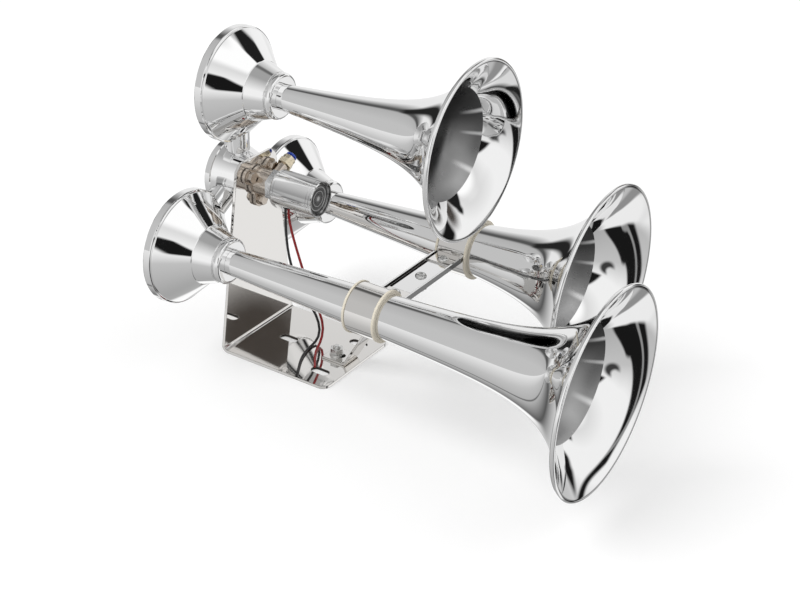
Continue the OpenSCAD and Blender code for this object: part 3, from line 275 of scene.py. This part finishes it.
studio.links.new(brightness, leave.inputs["Brightness"])

paper_bm = bmesh.new()
bmesh.ops.create_circle(paper_bm, cap_ends=True, radius=1.6, segments=96)
paper_mesh = bpy.data.meshes.new("floor_paper")
paper_bm.to_mesh(paper_mesh)
paper_bm.free()
paper = bpy.data.objects.new("floor_paper", paper_mesh)
bpy.context.scene.collection.objects.link(paper)
paper_white, tree, shader = plain_material("paper_white", (0.62, 0.62, 0.62), 0, 0.9)
shader.inputs["Specular IOR Level"].default_value = 0
rays = tree.nodes.new("ShaderNodeLightPath")
glow = tree.nodes.new("ShaderNodeEmission")
tree.links.new(maths(tree, "MULTIPLY", rays.outputs["Is Camera Ray"], 0.4), glow.inputs["Strength"])
both = tree.nodes.new("ShaderNodeAddShader")
tree.links.new(shader.outputs[0], both.inputs[0])
tree.links.new(glow.outputs[0], both.inputs[1])
tree.links.new(both.outputs[0], tree.nodes["Material Output"].inputs["Surface"])
paper.visible_glossy = False
paper_mesh.materials.append(paper_white)

# Flag: a dark cloth square with soft edges beside the horn, which only reflections show.
# It darkens what the lower part of the bracket's sheet mirrors.
flag_half = 0.1
flag_bm = bmesh.new()
bmesh.ops.create_grid(flag_bm, x_segments=1, y_segments=1, size=flag_half)
flag_mesh = bpy.data.meshes.new("black_flag")
flag_bm.to_mesh(flag_mesh)
flag_bm.free()
flag = bpy.data.objects.new("black_flag", flag_mesh)
bpy.context.scene.collection.objects.link(flag)
flag.matrix_world = (Matrix.Translation((0.22, 0.34, 0.27))
                     @ Vector((0.55, 0.68, 0.48)).to_track_quat("Z", "Y").to_matrix().to_4x4())
flag.visible_camera = False
flag.visible_diffuse = False
flag.visible_shadow = False
flag_cloth, tree, shader = plain_material("black_cloth", (0.05, 0.044, 0.04), 0, 1.0)
shader.inputs["Emission Color"].default_value = (0.09, 0.077, 0.068, 1)
shader.inputs["Emission Strength"].default_value = 0.4
place = tree.nodes.new("ShaderNodeTexCoord")
from_middle = node_of(tree, "ShaderNodeVectorMath", operation="LENGTH")
tree.links.new(place.outputs["Object"], from_middle.inputs[0])
thin = node_of(tree, "ShaderNodeMixShader")
tree.links.new(fade(tree, from_middle.outputs["Value"], 0.03, 0.115), thin.inputs["Fac"])
tree.links.new(tree.nodes.new("ShaderNodeBsdfTransparent").outputs[0], thin.inputs[1])
tree.links.new(shader.outputs[0], thin.inputs[2])
tree.links.new(thin.outputs[0], tree.nodes["Material Output"].inputs["Surface"])
flag_mesh.materials.append(flag_cloth)

world = bpy.data.worlds.new("studio")
world.use_nodes = True
bpy.context.scene.world = world
tree = world.node_tree
place = tree.nodes.new("ShaderNodeTexCoord")
walls = node_of(tree, "ShaderNodeGroup", node_tree=studio)
tree.links.new(place.outputs["Generated"], walls.inputs["Direction"])
rays = tree.nodes.new("ShaderNodeLightPath")
lit = mixed(tree, rays.outputs["Is Glossy Ray"], 0.62, walls.outputs["Brightness"])
plainly = maths(tree, "MAXIMUM", rays.outputs["Is Camera Ray"], rays.outputs["Is Transmission Ray"])
tree.links.new(mixed(tree, plainly, lit, 1.0), tree.nodes["Background"].inputs["Strength"])
tree.nodes["Background"].inputs["Color"].default_value = (1, 1, 1, 1)
for name, spot, strength, spread in (("key_lamp", (-0.35, -0.55, 0.8), 1.5, 40),
                                     ("fill_lamp", (0.6, 0.5, 0.7), 0.5, 60)):
    lamp = bpy.data.objects.new(name, bpy.data.lights.new(name, "SUN"))
    bpy.context.scene.collection.objects.link(lamp)
    lamp.data.energy = strength
    lamp.data.angle = math.radians(spread)
    lamp.matrix_world = Vector(spot).to_track_quat("Z", "Y").to_matrix().to_4x4()
    lamp.visible_glossy = False

# Trumpets: three spun brass tubes with a slow cone, a flare and a rolled rim, chromed outside and in
# the bell. Deeper inside the plating is thin and dull; the shade and the highlight streaks in the bore
# and a dark hairline at each rim are painted. Each sits in the socket of its housing.
hub_z = 0.143
reach = 0.079
behind = 0.075
tube_r = 0.0106
sheet = 0.0012
roll_r = 0.0019
flare = 0.030
housing_front = 0.052
socket = 0.034
horns = {"top": (90, 0.2295, 0.0704, 0.024, 0.0205, 0.0014),
         "left": (210, 0.384, 0.0805, 0.0255, 0.0255, 0.0004),
         "right": (330, 0.313, 0.0853, 0.028, 0.031, 0)}
lip = 0.004
steps_round = 160


def axis_of(side):
    degrees = math.radians(horns[side][0])
    return reach * math.cos(degrees), hub_z + reach * math.sin(degrees)


def wire_profile(points, softened=()):
    """A bmesh with one chain of edges in the XZ plane; the numbered corners are rounded."""
    bm = bmesh.new()
    chain = [bm.verts.new((x, 0, r)) for x, r in points]
    for a, b in zip(chain, chain[1:]):
        bm.edges.new((a, b))
    for number, size in softened:
        bmesh.ops.bevel(bm, geom=[chain[number]], offset=size, segments=4, profile=0.5,
                        affect="VERTICES", material=-1)
    return bm


def spun(bm, centre, steps=96):
    """Spins the profile round X and moves it to its axis; poles and seams are merged."""
    bmesh.ops.spin(bm, geom=bm.verts[:] + bm.edges[:], cent=(0, 0, 0), axis=(1, 0, 0), dvec=(0, 0, 0),
                   angle=2 * math.pi, steps=steps, use_merge=True)
    bmesh.ops.remove_doubles(bm, verts=bm.verts[:], dist=0.000002)
    bmesh.ops.dissolve_degenerate(bm, edges=bm.edges[:], dist=0.000001)
    bmesh.ops.recalc_face_normals(bm, faces=bm.faces[:])
    bmesh.ops.translate(bm, verts=bm.verts[:], vec=centre)


def finished(name, bm, *materials, sharp=32):
    mesh = bpy.data.meshes.new(name)
    for face in bm.faces:
        face.smooth = True
    bm.to_mesh(mesh)
    bm.free()
    mesh.set_sharp_from_angle(angle=math.radians(sharp))
    for material in materials:
        mesh.materials.append(material)
    piece = bpy.data.objects.new(name, mesh)
    bpy.context.scene.collection.objects.link(piece)
    return piece


chrome, tree, shader = plain_material("chrome_polish", (0.86, 0.865, 0.87), 1, 0.03)
grain_over(tree, shader, 45, 0.015, 0.05)
# Painted shade: a dark hairline at both edges of the rolled rim is painted into the chrome's base colour.
rim_painted_shade = node_of(tree, "ShaderNodeAttribute", attribute_name="rim_painted_shade")
tree.links.new(mixed(tree, rim_painted_shade.outputs["Fac"], 0.865, 0.1), shader.inputs["Base Color"])
dull_bore_painted_light, tree, shader = plain_material("dull_bore_painted_light", (0.24, 0.24, 0.243), 1, 0.3)
grain_over(tree, shader, 120, 0.27, 0.32, (0.15, 1, 1))
shader.inputs["Anisotropic"].default_value = 1.0
faces = tree.nodes.new("ShaderNodeNewGeometry")
facing = tree.nodes.new("ShaderNodeSeparateXYZ")
tree.links.new(faces.outputs["Normal"], facing.inputs[0])
# Painted light in the bore's base colour: painted shade, darker where the wall faces down and lighter where
# it faces up, and painted highlight streaks at three angles near the mouth.
bore_painted_shade_and_streaks = tones(tree, facing.outputs["Z"], -1, 1, [(-1, 0.05), (-0.2, 0.08), (0.35, 0.26), (1, 0.5)])
near_mouth = node_of(tree, "ShaderNodeAttribute", attribute_name="near_mouth")
round_bore = maths(tree, "DEGREES", maths(tree, "ARCTAN2", facing.outputs["Z"], facing.outputs["Y"]))
for at, wide in ((-160, 4), (173, 3), (134, 5)):
    apart = maths(tree, "ABSOLUTE", maths(tree, "WRAP", maths(tree, "SUBTRACT", round_bore, at), 180, -180))
    painted_highlight_streak = maths(tree, "MULTIPLY", fade(tree, apart, 0.3, wide), near_mouth.outputs["Fac"])
    bore_painted_shade_and_streaks = mixed(tree, painted_highlight_streak, bore_painted_shade_and_streaks, 0.85)
tree.links.new(bore_painted_shade_and_streaks, shader.inputs["Base Color"])
lathe_way = node_of(tree, "ShaderNodeTangent", direction_type="RADIAL", axis="X")
tree.links.new(lathe_way.outputs[0], shader.inputs["Tangent"])

for side, (degrees, length, rim_r, cone_r, bell_depth, lip_r) in horns.items():
    y, z = axis_of(side)
    rim_x = length - roll_r
    slope = (cone_r - tube_r) / (rim_x - housing_front)
    start = math.exp((housing_front - rim_x) / flare)
    gain = (rim_r - roll_r - cone_r - lip_r) / (1 - start)

    def radius(x):
        turned_out = lip_r * math.exp((x - rim_x) / lip)
        flared = gain * (math.exp((x - rim_x) / flare) - start)
        return tube_r + slope * (x - housing_front) + flared + turned_out

    def inward(x):
        steep = (slope + gain / flare * math.exp((x - rim_x) / flare)
                 + lip_r / lip * math.exp((x - rim_x) / lip))
        wide = math.sqrt(1 + steep * steep)
        wall = sheet + (roll_r - sheet) * max(0, min(1, (x - rim_x + 0.012) / 0.012))
        return x + wall * steep / wide, radius(x) - wall / wide

    along = [housing_front + (rim_x - 0.1 - housing_front) * i / 24 for i in range(24)]
    along += [rim_x - 0.1 + 0.1 * (1 - (1 - i / 70) ** 1.3) for i in range(71)]
    outside = [(socket + 0.0001, tube_r)]
    outside += [(x, radius(x)) for x in along if math.hypot(x - rim_x, radius(x) - rim_r + roll_r) > roll_r]
    inside = [inward(x) for x in reversed(along)] + [(socket + 0.0001, tube_r - sheet)]
    centre_r = rim_r - roll_r
    first = math.atan2(outside[-1][1] - centre_r, outside[-1][0] - rim_x)
    last = math.atan2(inside[0][1] - centre_r, inside[0][0] - rim_x)
    while first < last:
        first += 2 * math.pi
    bead = [(rim_x + roll_r * math.cos(a), centre_r + roll_r * math.sin(a))
            for a in (first + (last - first) * i / 22 for i in range(1, 22))]
    bm = wire_profile(outside + bead + inside)
    bm.edges.new((bm.verts[:][-1], bm.verts[:][0]))
    spun(bm, (-behind, y, z), steps_round)
    edge_x = length - bell_depth - behind
    for face in bm.faces:
        middle = face.calc_center_median()
        if face.normal.dot(Vector((0, middle.y - y, middle.z - z))) < 0 and middle.x < edge_x:
            face.material_index = 1
    trumpet = finished("trumpet_" + side + "_spun", bm, chrome, dull_bore_painted_light)
    near_mouth = trumpet.data.attributes.new("near_mouth", "FLOAT", "POINT")
    # Marks the painted shade line on the rolled bead, where it meets the outside and the bore.
    rim_painted_shade = trumpet.data.attributes.new("rim_painted_shade", "FLOAT", "POINT")
    for vertex, share, dark in zip(trumpet.data.vertices, near_mouth.data, rim_painted_shade.data):
        share.value = max(0, min(1, 1 - (edge_x - vertex.co.x) / 0.015))
        out = math.hypot(vertex.co.y - y, vertex.co.z - z) - centre_r
        along_x = vertex.co.x + behind - rim_x
        if math.hypot(out, along_x) < roll_r * 1.3:
            turned = math.atan2(out, along_x)
            off = min(abs(math.remainder(turned - end, 2 * math.pi)) for end in (first, last))
            dark.value = max(0, 1 - off / 0.45)
    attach(trumpet, "horn")
    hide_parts("trumpet_" + side)

# Rear housings: three turned and chromed castings with a straight cone, a collar and a bead round the tube.
# Each has a flat rear cap with a polished edge band, held by countersunk screws, and a closed neck
# that plugs into the manifold.
cap_t = 0.007
cone_back = 0.0082
cone_big_r = 0.0462
neck_start = cone_big_r - 0.008
neck_r = 0.0108
neck_x = 0.0035
neck_seat = 0.0225
ring_x = 0.030
ring_r = 0.025
collar_r = 0.0192
bead_r = 0.0034
bead_x = housing_front - bead_r
for side in horns:
    y, z = axis_of(side)
    arc = [(bead_x + bead_r * math.cos(a), collar_r - bead_r + bead_r * math.sin(a))
           for a in (math.radians(150 - 150 * i / 16) for i in range(17))]
    outline = [(cap_t, 0), (cap_t, cone_big_r), (cone_back, cone_big_r), (ring_x, ring_r),
               (ring_x + 0.0003, ring_r - 0.0005), (bead_x - bead_r + 0.0003, collar_r - 0.0001),
               (bead_x - bead_r + 0.0003, collar_r - 0.0012)] + arc
    outline += [(housing_front, tube_r + 0.0001), (0.046, tube_r + 0.0001), (0.046, 0)]
    bm = wire_profile(outline, [(2, 0.0004), (3, 0.0005), (5, 0.0003)])
    spun(bm, (-behind, y, z), steps_round)
    housing = finished("housing_" + side + "_turned", bm, chrome)
    toward = Vector((0, -y, hub_z - z)).normalized()
    neck_bm = bmesh.new()
    bmesh.ops.create_circle(neck_bm, cap_ends=False, radius=neck_r, segments=72)
    hoop = neck_bm.edges[:]
    made = bmesh.ops.extrude_edge_only(neck_bm, edges=hoop)
    bmesh.ops.translate(neck_bm, verts=[v for v in made["geom"] if isinstance(v, bmesh.types.BMVert)],
                        vec=(0, 0, reach - neck_seat - neck_start))
    bmesh.ops.holes_fill(neck_bm, edges=neck_bm.edges[:])
    bmesh.ops.recalc_face_normals(neck_bm, faces=neck_bm.faces[:])
    bmesh.ops.translate(neck_bm, verts=neck_bm.verts[:], vec=(0, 0, neck_start))
    facing = toward.to_track_quat("Z", "X").to_matrix().to_4x4()
    bmesh.ops.transform(neck_bm, matrix=Matrix.Translation((neck_x - behind, y, z)) @ facing,
                        verts=neck_bm.verts[:])
    neck = finished("neck_" + side + "_cast", neck_bm, chrome)
    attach(neck, "horn")
    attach(housing, "horn")
    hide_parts("horn_housing_" + side)
    nodes["rear_cap_" + side].data.materials.clear()
    nodes["rear_cap_" + side].data.materials.append(chrome)

# Solenoid: a drawn and chromed can with rolled lines near both ends, over the winding.
# Its front is closed by a dark pressed plate with raised rings.
can_low, can_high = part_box("coil_cover")
can_r = (can_high[1] - can_low[1]) / 2
can_wall = 0.0013
core_hole = 0.0062
line_w, line_in = 0.0006, 0.0003
outline = [(can_low[0], core_hole), (can_low[0], can_r - 0.0012), (can_low[0] + 0.0012, can_r)]
for line in (can_low[0] + 0.0036, can_high[0] - 0.0052, can_high[0] - 0.0026):
    outline += [(line, can_r), (line + 0.0001, can_r - line_in),
                (line + line_w - 0.0001, can_r - line_in), (line + line_w, can_r)]
outline += [(can_high[0] - 0.0005, can_r), (can_high[0], can_r - 0.0005), (can_high[0], can_r - can_wall)]
outline += [(can_low[0] + can_wall, can_r - can_wall), (can_low[0] + can_wall, core_hole)]
bm = wire_profile(outline, [(1, 0.0006), (2, 0.0006)])
spun(bm, (0, 0, hub_z), steps_round)
drawn_chrome, tree, shader = plain_material("drawn_chrome", (0.84, 0.845, 0.85), 1, 0.08)
grain_over(tree, shader, 500, 0.06, 0.1, (1, 0.05, 0.05))
place = tree.nodes.new("ShaderNodeNewGeometry")
facing = tree.nodes.new("ShaderNodeSeparateXYZ")
tree.links.new(place.outputs["Normal"], facing.inputs[0])
round_can = maths(tree, "DEGREES", maths(tree, "ARCTAN2", facing.outputs["Z"], facing.outputs["Y"]))
# Painted reflections: light and dark bands round the can, set in the base colour by the angle round X.
can_painted_bands = tones(tree, round_can, -180, 180, [
    (-180, 0.9), (-165, 1.0), (-145, 0.5), (-128, 0.2), (0, 0.5), (80, 0.2),
    (110, 1.0), (130, 1.0), (160, 0.5)])
tree.links.new(can_painted_bands, shader.inputs["Base Color"])
can = finished("coil_can_drawn", bm, drawn_chrome, sharp=25)
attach(can, "horn")
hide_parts("coil_cover")

plate_low, plate_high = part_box("end_cap")
plate_r = (plate_high[1] - plate_low[1]) / 2
face = plate_high[0]
outline = [(plate_low[0], 0), (plate_low[0], plate_r), (face - 0.0003, plate_r), (face, plate_r - 0.0003)]
for outer, inner, sunk in ((0.0128, 0.0104, 0.0006), (0.0096, 0.0068, 0.0005), (0.0060, 0.0034, 0.0004)):
    outline += [(face, outer), (face - sunk, outer - 0.0003), (face - sunk, inner + 0.0003), (face, inner)]
outline += [(face, 0)]
bm = wire_profile(outline)
spun(bm, (0, 0, hub_z), steps_round)
end_plate, tree, shader = plain_material("end_plate", (0.38, 0.385, 0.39), 1, 0.3)
grain_over(tree, shader, 900, 0.27, 0.33)
place = tree.nodes.new("ShaderNodeTexCoord")
apart = node_of(tree, "ShaderNodeVectorMath", operation="SUBTRACT")
apart.inputs[1].default_value = (face, 0, hub_z)
across = node_of(tree, "ShaderNodeVectorMath", operation="LENGTH")
tree.links.new(place.outputs["Object"], apart.inputs[0])
tree.links.new(apart.outputs[0], across.inputs[0])
# Painted light in the base colour by distance from the middle: painted shade in the grooves and painted
# highlights on the raised rings.
plate_painted_rings = tones(tree, across.outputs["Value"], 0, plate_r, [
    (0, 0.6), (0.0016, 0.5), (0.0024, 0.12), (0.0034, 0.2), (0.0038, 0.1), (0.006, 0.14), (0.0063, 0.5),
    (0.0067, 0.4), (0.0071, 0.1), (0.0093, 0.16), (0.0099, 0.55), (0.0103, 0.4), (0.0107, 0.09),
    (0.0126, 0.14), (0.0131, 0.5), (plate_r, 0.3)])
tree.links.new(plate_painted_rings, shader.inputs["Base Color"])
plate = finished("end_plate_pressed", bm, end_plate, sharp=25)
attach(plate, "horn")
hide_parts("end_cap")


# Everything else keeps its solid and gets its finish; the bar, the sheet parts, the bolts, the valve and the
# fitting have their edges softly broken.
def broken_edges(tree, shader, size):
    edge = tree.nodes.new("ShaderNodeBevel")
    edge.samples = 6
    edge.inputs["Radius"].default_value = size
    tree.links.new(edge.outputs[0], shader.inputs["Normal"])
    return edge.outputs[0]


def painted_edge_shade(tree, shader, rounded, colour, edge_shade_colour):
    """Darkens the colour where the rounded normal leaves the flat one: dark lines of painted shade along the
    edges.
    """
    faces = tree.nodes.new("ShaderNodeNewGeometry")
    together = node_of(tree, "ShaderNodeVectorMath", operation="DOT_PRODUCT")
    tree.links.new(rounded, together.inputs[0])
    tree.links.new(faces.outputs["True Normal"], together.inputs[1])
    tint = node_of(tree, "ShaderNodeMix", data_type="RGBA")
    tint.inputs["B"].default_value = edge_shade_colour
    tree.links.new(fade(tree, together.outputs["Value"], 0.86, 0.995), tint.inputs["Factor"])
    tree.links.new(colour, tint.inputs["A"])
    tree.links.new(tint.outputs["Result"], shader.inputs["Base Color"])


satin_chrome, tree, shader = plain_material("satin_chrome", (0.84, 0.845, 0.85), 1, 0.16)
grain_over(tree, shader, 300, 0.13, 0.19, (1, 0.2, 0.2))
bar_steel, tree, shader = plain_material("bar_sheet", (0.87, 0.865, 0.855), 1, 0.04)
grain_over(tree, shader, 60, 0.025, 0.06, (1, 0.1, 1))
rounded = broken_edges(tree, shader, 0.0005)
faces = tree.nodes.new("ShaderNodeNewGeometry")
facing = tree.nodes.new("ShaderNodeSeparateXYZ")
tree.links.new(faces.outputs["Normal"], facing.inputs[0])
# Painted shade on the bar: its lips, where faces turn towards X, are darkened in the base colour, and dark
# lines are painted along its edges.
lips_painted_shade = tones(tree, maths(tree, "ABSOLUTE", facing.outputs["X"]), 0, 1,
             [(0, 0.87), (0.5, 0.8), (0.8, 0.3), (1, 0.16)])
painted_edge_shade(tree, shader, rounded, lips_painted_shade, (0.2, 0.19, 0.18, 1))
sheet_steel, tree, shader = plain_material("polished_sheet", (0.83, 0.815, 0.795), 1, 0.04)
faces = tree.nodes.new("ShaderNodeNewGeometry")
facing = tree.nodes.new("ShaderNodeSeparateXYZ")
spot = tree.nodes.new("ShaderNodeSeparateXYZ")
tree.links.new(faces.outputs["True Normal"], facing.inputs[0])
tree.links.new(faces.outputs["Position"], spot.inputs[0])
foot_low, foot_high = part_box("bracket")
foot_sheet, foot_edge = 0.0027, 0.004
# Painted shade on the bracket, clamp bands and brace: the walls of the slots in the base sheet are painted
# near black, and dark lines are painted along the edges.
slot_wall_shade = maths(tree, "MULTIPLY",
                 maths(tree, "LESS_THAN", maths(tree, "ABSOLUTE", facing.outputs["Z"]), 0.3),
                 maths(tree, "LESS_THAN", spot.outputs["Z"], foot_low[2] + foot_sheet))
for way, low, high in (("X", foot_low[0], foot_high[0]), ("Y", foot_low[1], foot_high[1])):
    from_edge = maths(tree, "ABSOLUTE", maths(tree, "SUBTRACT", spot.outputs[way], (low + high) / 2))
    slot_wall_shade = maths(tree, "MULTIPLY", slot_wall_shade,
                     maths(tree, "LESS_THAN", from_edge, (high - low) / 2 - foot_edge))
slot_wall_shade_colour = node_of(tree, "ShaderNodeMix", data_type="RGBA")
slot_wall_shade_colour.inputs["A"].default_value = (0.83, 0.815, 0.795, 1)
slot_wall_shade_colour.inputs["B"].default_value = (0.05, 0.045, 0.04, 1)
tree.links.new(slot_wall_shade, slot_wall_shade_colour.inputs["Factor"])
grain_over(tree, shader, 60, 0.025, 0.06, (0.1, 1, 1))
rounded = broken_edges(tree, shader, 0.0006)
painted_edge_shade(tree, shader, rounded, slot_wall_shade_colour.outputs["Result"], (0.2, 0.19, 0.18, 1))
bolt_steel, tree, shader = plain_material("bolt_steel", (0.70, 0.70, 0.69), 1, 0.2)
grain_over(tree, shader, 300, 0.14, 0.28)
broken_edges(tree, shader, 0.0004)
valve_brass, tree, shader = plain_material("valve_nickel", (0.56, 0.50, 0.44), 1, 0.18)
grain_over(tree, shader, 300, 0.12, 0.24)
broken_edges(tree, shader, 0.0006)
fitting_brass, tree, shader = plain_material("fitting_brass", (0.74, 0.66, 0.50), 1, 0.22)
grain_over(tree, shader, 300, 0.18, 0.3)
broken_edges(tree, shader, 0.0003)
brown_gasket, tree, shader = plain_material("brown_gasket", (0.12, 0.10, 0.085), 0, 0.6)
grain_over(tree, shader, 600, 0.5, 0.7)
black_rubber, tree, shader = plain_material("black_rubber", (0.02, 0.02, 0.02), 0, 0.6)
grain_over(tree, shader, 600, 0.5, 0.7)
cream_rubber, tree, shader = plain_material("cream_rubber", (0.78, 0.72, 0.60), 0, 0.55)
grain_over(tree, shader, 500, 0.45, 0.65)
blue_collet, tree, shader = plain_material("blue_collet", (0.03, 0.09, 0.55), 0, 0.35)
grain_over(tree, shader, 500, 0.3, 0.42)
inner_steel, tree, shader = plain_material("inner_steel", (0.5, 0.5, 0.51), 1, 0.3)
grain_over(tree, shader, 300, 0.25, 0.38)
copper, tree, shader = plain_material("copper_winding", (0.6, 0.3, 0.14), 1, 0.35)
grain_over(tree, shader, 800, 0.3, 0.42)
finishes = {
    chrome: ["manifold", "manifold_cover"],
    satin_chrome: ["union_nut"],
    bar_steel: ["support_bar"],
    sheet_steel: ["bracket", "clamp_band_left", "clamp_band_right", "brace"],
    bolt_steel: ["cap_screws", "cover_screws", "clamp_bolts", "clamp_nuts", "brace_stud", "brace_bolt",
                 "brace_nuts", "brace_washers"],
    valve_brass: ["valve_body", "manifold_bolts", "manifold_washers"],
    fitting_brass: ["fitting_body"],
    black_rubber: ["manifold_seal", "neck_seals",
                   "diaphragm_gasket_top", "diaphragm_gasket_left", "diaphragm_gasket_right",
                   "plunger_seal", "fitting_seal", "lead_grommet", "coil_bobbin"],
    brown_gasket: ["valve_gasket"],
    cream_rubber: ["clamp_liner_left", "clamp_liner_right"],
    blue_collet: ["release_collet"],
    inner_steel: ["core_tube", "fixed_core", "plunger", "diaphragm_top", "diaphragm_left", "diaphragm_right"],
    copper: ["coil_winding"]}
for material, names in finishes.items():
    for name in names:
        nodes[name].data.materials.clear()
        nodes[name].data.materials.append(material)

# Return spring: steel wire wound in seven turns, held in the bores of the plunger and of the fixed core.
# It stays on the core.
spring_low, spring_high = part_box("plunger_spring")
spring_turns = 7
spring_wire = 0.00035
spring_r = (spring_high[1] - spring_low[1]) / 2 - spring_wire
spring_start = spring_low[0] + spring_wire
spring_end = spring_high[0] - spring_wire
bm = bmesh.new()
rings = []
for i in range(spring_turns * 32 + 1):
    share = i / (spring_turns * 32)
    turned = 2 * math.pi * spring_turns * share
    out = Vector((0, math.cos(turned), math.sin(turned)))
    centre = Vector((spring_start + (spring_end - spring_start) * share, 0, hub_z)) + spring_r * out
    ring = []
    for corner in range(8):
        bend = 2 * math.pi * corner / 8
        side_step = math.cos(bend) * out + math.sin(bend) * Vector((1, 0, 0))
        ring.append(bm.verts.new(centre + spring_wire * side_step))
    rings.append(ring)
for one, other in zip(rings, rings[1:]):
    for corner in range(8):
        bm.faces.new((one[corner], one[corner - 1], other[corner - 1], other[corner]))
bm.faces.new(rings[0])
bm.faces.new(rings[-1])
bmesh.ops.recalc_face_normals(bm, faces=bm.faces[:])
spring = finished("return_spring_wound", bm, inner_steel, sharp=60)
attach(spring, "horn")
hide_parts("plunger_spring")
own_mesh(spring)
